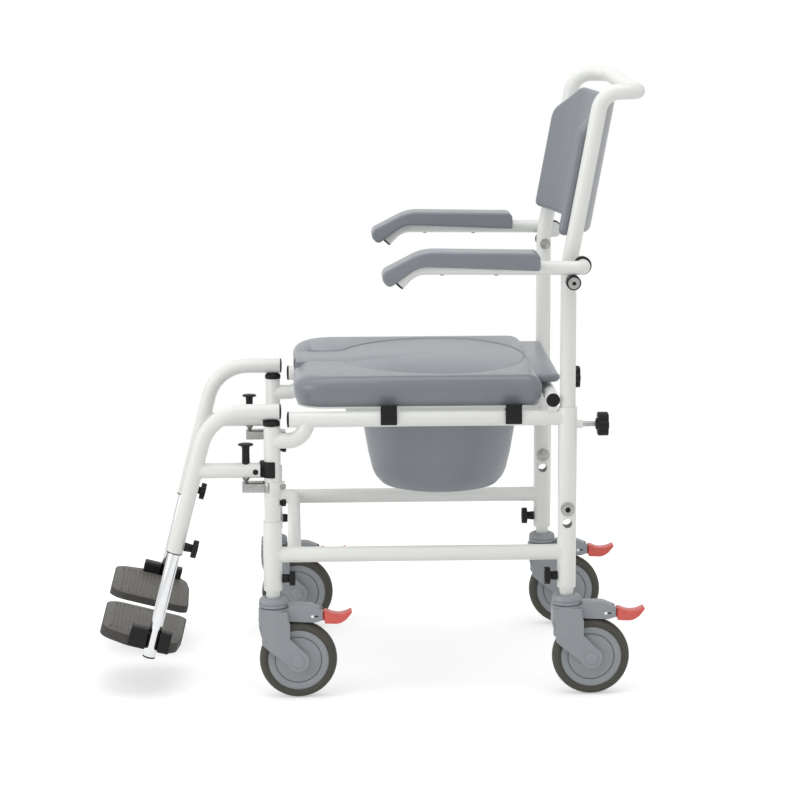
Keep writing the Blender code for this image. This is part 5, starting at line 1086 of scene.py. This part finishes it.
def softened(piece, top, width, segments):
    """Rounds the sharp edges that lie at a height with a wide soft bevel, as by hand."""
    only(piece)
    mode("EDIT")
    bpy.ops.mesh.select_mode(type="EDGE")
    bpy.ops.mesh.select_all(action="DESELECT")
    bpy.ops.mesh.edges_select_sharp(sharpness=math.radians(60))
    mode("OBJECT")
    for edge in piece.data.edges:
        edge.select = edge.select and all(piece.data.vertices[i].co.z > top - 1e-4 for i in edge.vertices)
    mode("EDIT")
    bpy.ops.mesh.bevel(offset=width, segments=segments, profile=0.5, affect="EDGES")
    bpy.ops.mesh.select_mode(type="VERT")
    mode("OBJECT")
    return piece


# The pad's wall rises from its outline and rolls over into the flat top: far at the front,
# less at the rear, least at the sides.
ROLLS, ROLL_STEPS = (0.032, 0.019, 0.022), 10
FRONT_DEPTH, FRONT_SHARE = 0.022, 0.14


def roll_ring(step, tuck=0, level=None):
    """The pad's outline with heights, part of the way round the roll, or tucked in at a level below."""
    turn = math.pi / 2 * step / ROLL_STEPS
    along, fall = 1 - math.cos(turn), 1 - math.sin(turn)
    front, side, rear = [r * along + tuck for r in ROLLS]
    half, near, far = SEAT_HALF - side, SEAT_FRONT + front, SEAT_REAR - rear
    ring = []
    for u, v in plan(half, near, far, SEAT_CORNER - side * 0.5, 0.020 - side * 0.6):
        part = (v - near) / (far - near) / FRONT_SHARE
        depth = ROLLS[1] + (FRONT_DEPTH - ROLLS[1]) * max(0, 1 - part) ** 2 + 0.002 * max(0, part - 6.14)
        ring.append((u, FRONT_Y + v, level or SEAT_TOP - depth * fall))
    return ring


def onto_ring(piece, top, ring, target):
    """Moves the corners of a piece's top face from one ring's outline to the next ring's."""
    for k in top.vertices:
        here = piece.data.vertices[k].co
        near = min(range(len(ring)), key=lambda i: (ring[i][0] - here.x) ** 2 + (ring[i][1] - here.y) ** 2)
        here[:] = target[near]


def widest_top_face(piece):
    """The face with the most corners, the higher one of two."""
    return max(piece.data.polygons, key=lambda face: (len(face.vertices), face.center.z))


rings = [roll_ring(0, 0.0060, PAD_BOTTOM), roll_ring(0, 0.0022, PAD_BOTTOM + 0.010)]
rings += [roll_ring(step) for step in range(ROLL_STEPS + 1)]
pad = slab([spot[:2] for spot in rings[0]], PAD_BOTTOM, SEAT_TOP)
onto_ring(pad, widest_top_face(pad), rings[0], rings[1])
for before, after in zip(rings[1:], rings[2:]):
    only(pad)
    mode("EDIT")
    bpy.ops.mesh.select_mode(type="FACE")
    bpy.ops.mesh.select_all(action="DESELECT")
    mode("OBJECT")
    widest_top_face(pad).select = True
    mode("EDIT")
    bpy.ops.mesh.extrude_region_move(TRANSFORM_OT_translate={"value": (0, 0, 0.05)})
    bpy.ops.mesh.select_mode(type="VERT")
    mode("OBJECT")
    onto_ring(pad, widest_top_face(pad), before, after)
pad = cut(closed(pad), slab(keyhole(0, SEAT_FRONT - 0.02), BASE_BOTTOM, SEAT_TOP + 0.01))
for _, back in CLIP_BACKS:
    notch = [(back - 0.024, PAD_BOTTOM - 0.01), (back + 0.024, PAD_BOTTOM - 0.01)]
    notch += [(back + 0.016, PAD_BOTTOM + 0.003), (back - 0.016, PAD_BOTTOM + 0.003)]
    for side in (1, -1):
        pad = cut(pad, side_slab([(FRONT_Y + u, v) for u, v in notch], side * SEAT_HALF, 0.010))
pad = softened(pad, SEAT_TOP, 0.002, 3)
TAB_HALF, TAB_ROOT, TAB_REAR, TAB_BOTTOM, TAB_TOP = 0.180, 0.4225, 0.465, 0.502, 0.515
tab = [(TAB_HALF, TAB_ROOT), (TAB_HALF, TAB_REAR, 0.012), (-TAB_HALF, TAB_REAR, 0.012), (-TAB_HALF, TAB_ROOT)]
tab = slab([(u, FRONT_Y + v) for u, v in outline_of(tab)], TAB_BOTTOM, TAB_TOP)
pad = joined([rounded(closed(pad), 0.0012, 2), rounded(closed(tab), 0.0055, 4)])
settle(pad, "seat_cushion", "seat", seat_foam, "seat_pad")

# Seat insert: the same foam, a lift-out pad that fills the opening almost flush, with soft top edges.
insert = slab(keyhole(-INSERT_GAP, SEAT_FRONT + 0.004), PAD_BOTTOM, INSERT_TOP)
insert = closed(softened(insert, INSERT_TOP, 0.002, 3))
insert = rounded(insert, 0.0012, 2)
settle(insert, "seat_insert_cushion", "insert", seat_foam, "seat_insert")


# Bucket: a grey polypropylene pan that slides rearwards out of the runners on its flange.
# It is blow moulded, with round steps in its wall and a small flat foot.
RIM_Z, FLANGE_RADIUS, FLANGE, PAN_WALL = 0.4493, 0.146, 0.003, 0.0025
outside = [
    (0, 0.3030), (0.084, 0.3030, 0.040), (0.0965, 0.3065, 0.010), (0.1064, 0.3178, 0.014),
    (0.1120, 0.3290, 0.040), (0.1187, 0.3580, 0.060), (0.1257, 0.3980, 0.060), (0.134, RIM_Z, 0.0016),
    (FLANGE_RADIUS, RIM_Z), (FLANGE_RADIUS, RIM_Z + FLANGE), (0.1342, RIM_Z + FLANGE, 0.0016),
]
inside = [(r - PAN_WALL, z + (0.0022 if z < 0.31 else 0.0005)) for r, z, *_ in reversed(outside[2:8])]
path = [Vector((r, 0, z)) for r, z, *_ in outside] + [Vector((r, 0, z)) for r, z in inside]
path += [Vector((0.084 - PAN_WALL / 4, 0, 0.3055)), Vector((0, 0, 0.3055))]
radii = [(entry + (0.0,))[2] for entry in outside[1:]] + [0.0016, 0.055, 0.055, 0.036, 0.012, 0.008, 0.036]
line = [path[0]]
for before, corner, after, radius in zip(path, path[1:], path[2:], radii):
    line += bent([before, corner, after], [radius], math.radians(9))[1:-1] if radius else [corner]
line.append(path[-1])
pan = rounded(turned([(p.x, p.z) for p in line], 96), 0.0006)
# Grey polypropylene: satin, slightly cloudy, with faint flow marks.
bucket_plastic = surface(
    "bucket_plastic", "grey_polypropylene", "#8b9096", "#82878e", 40, 0.38, 0.06, 3.0, 0.02
)
settle(standing(pan, at(0, BUCKET_BACK, 0)), "commode_pan", "bucket", bucket_plastic, "bucket")
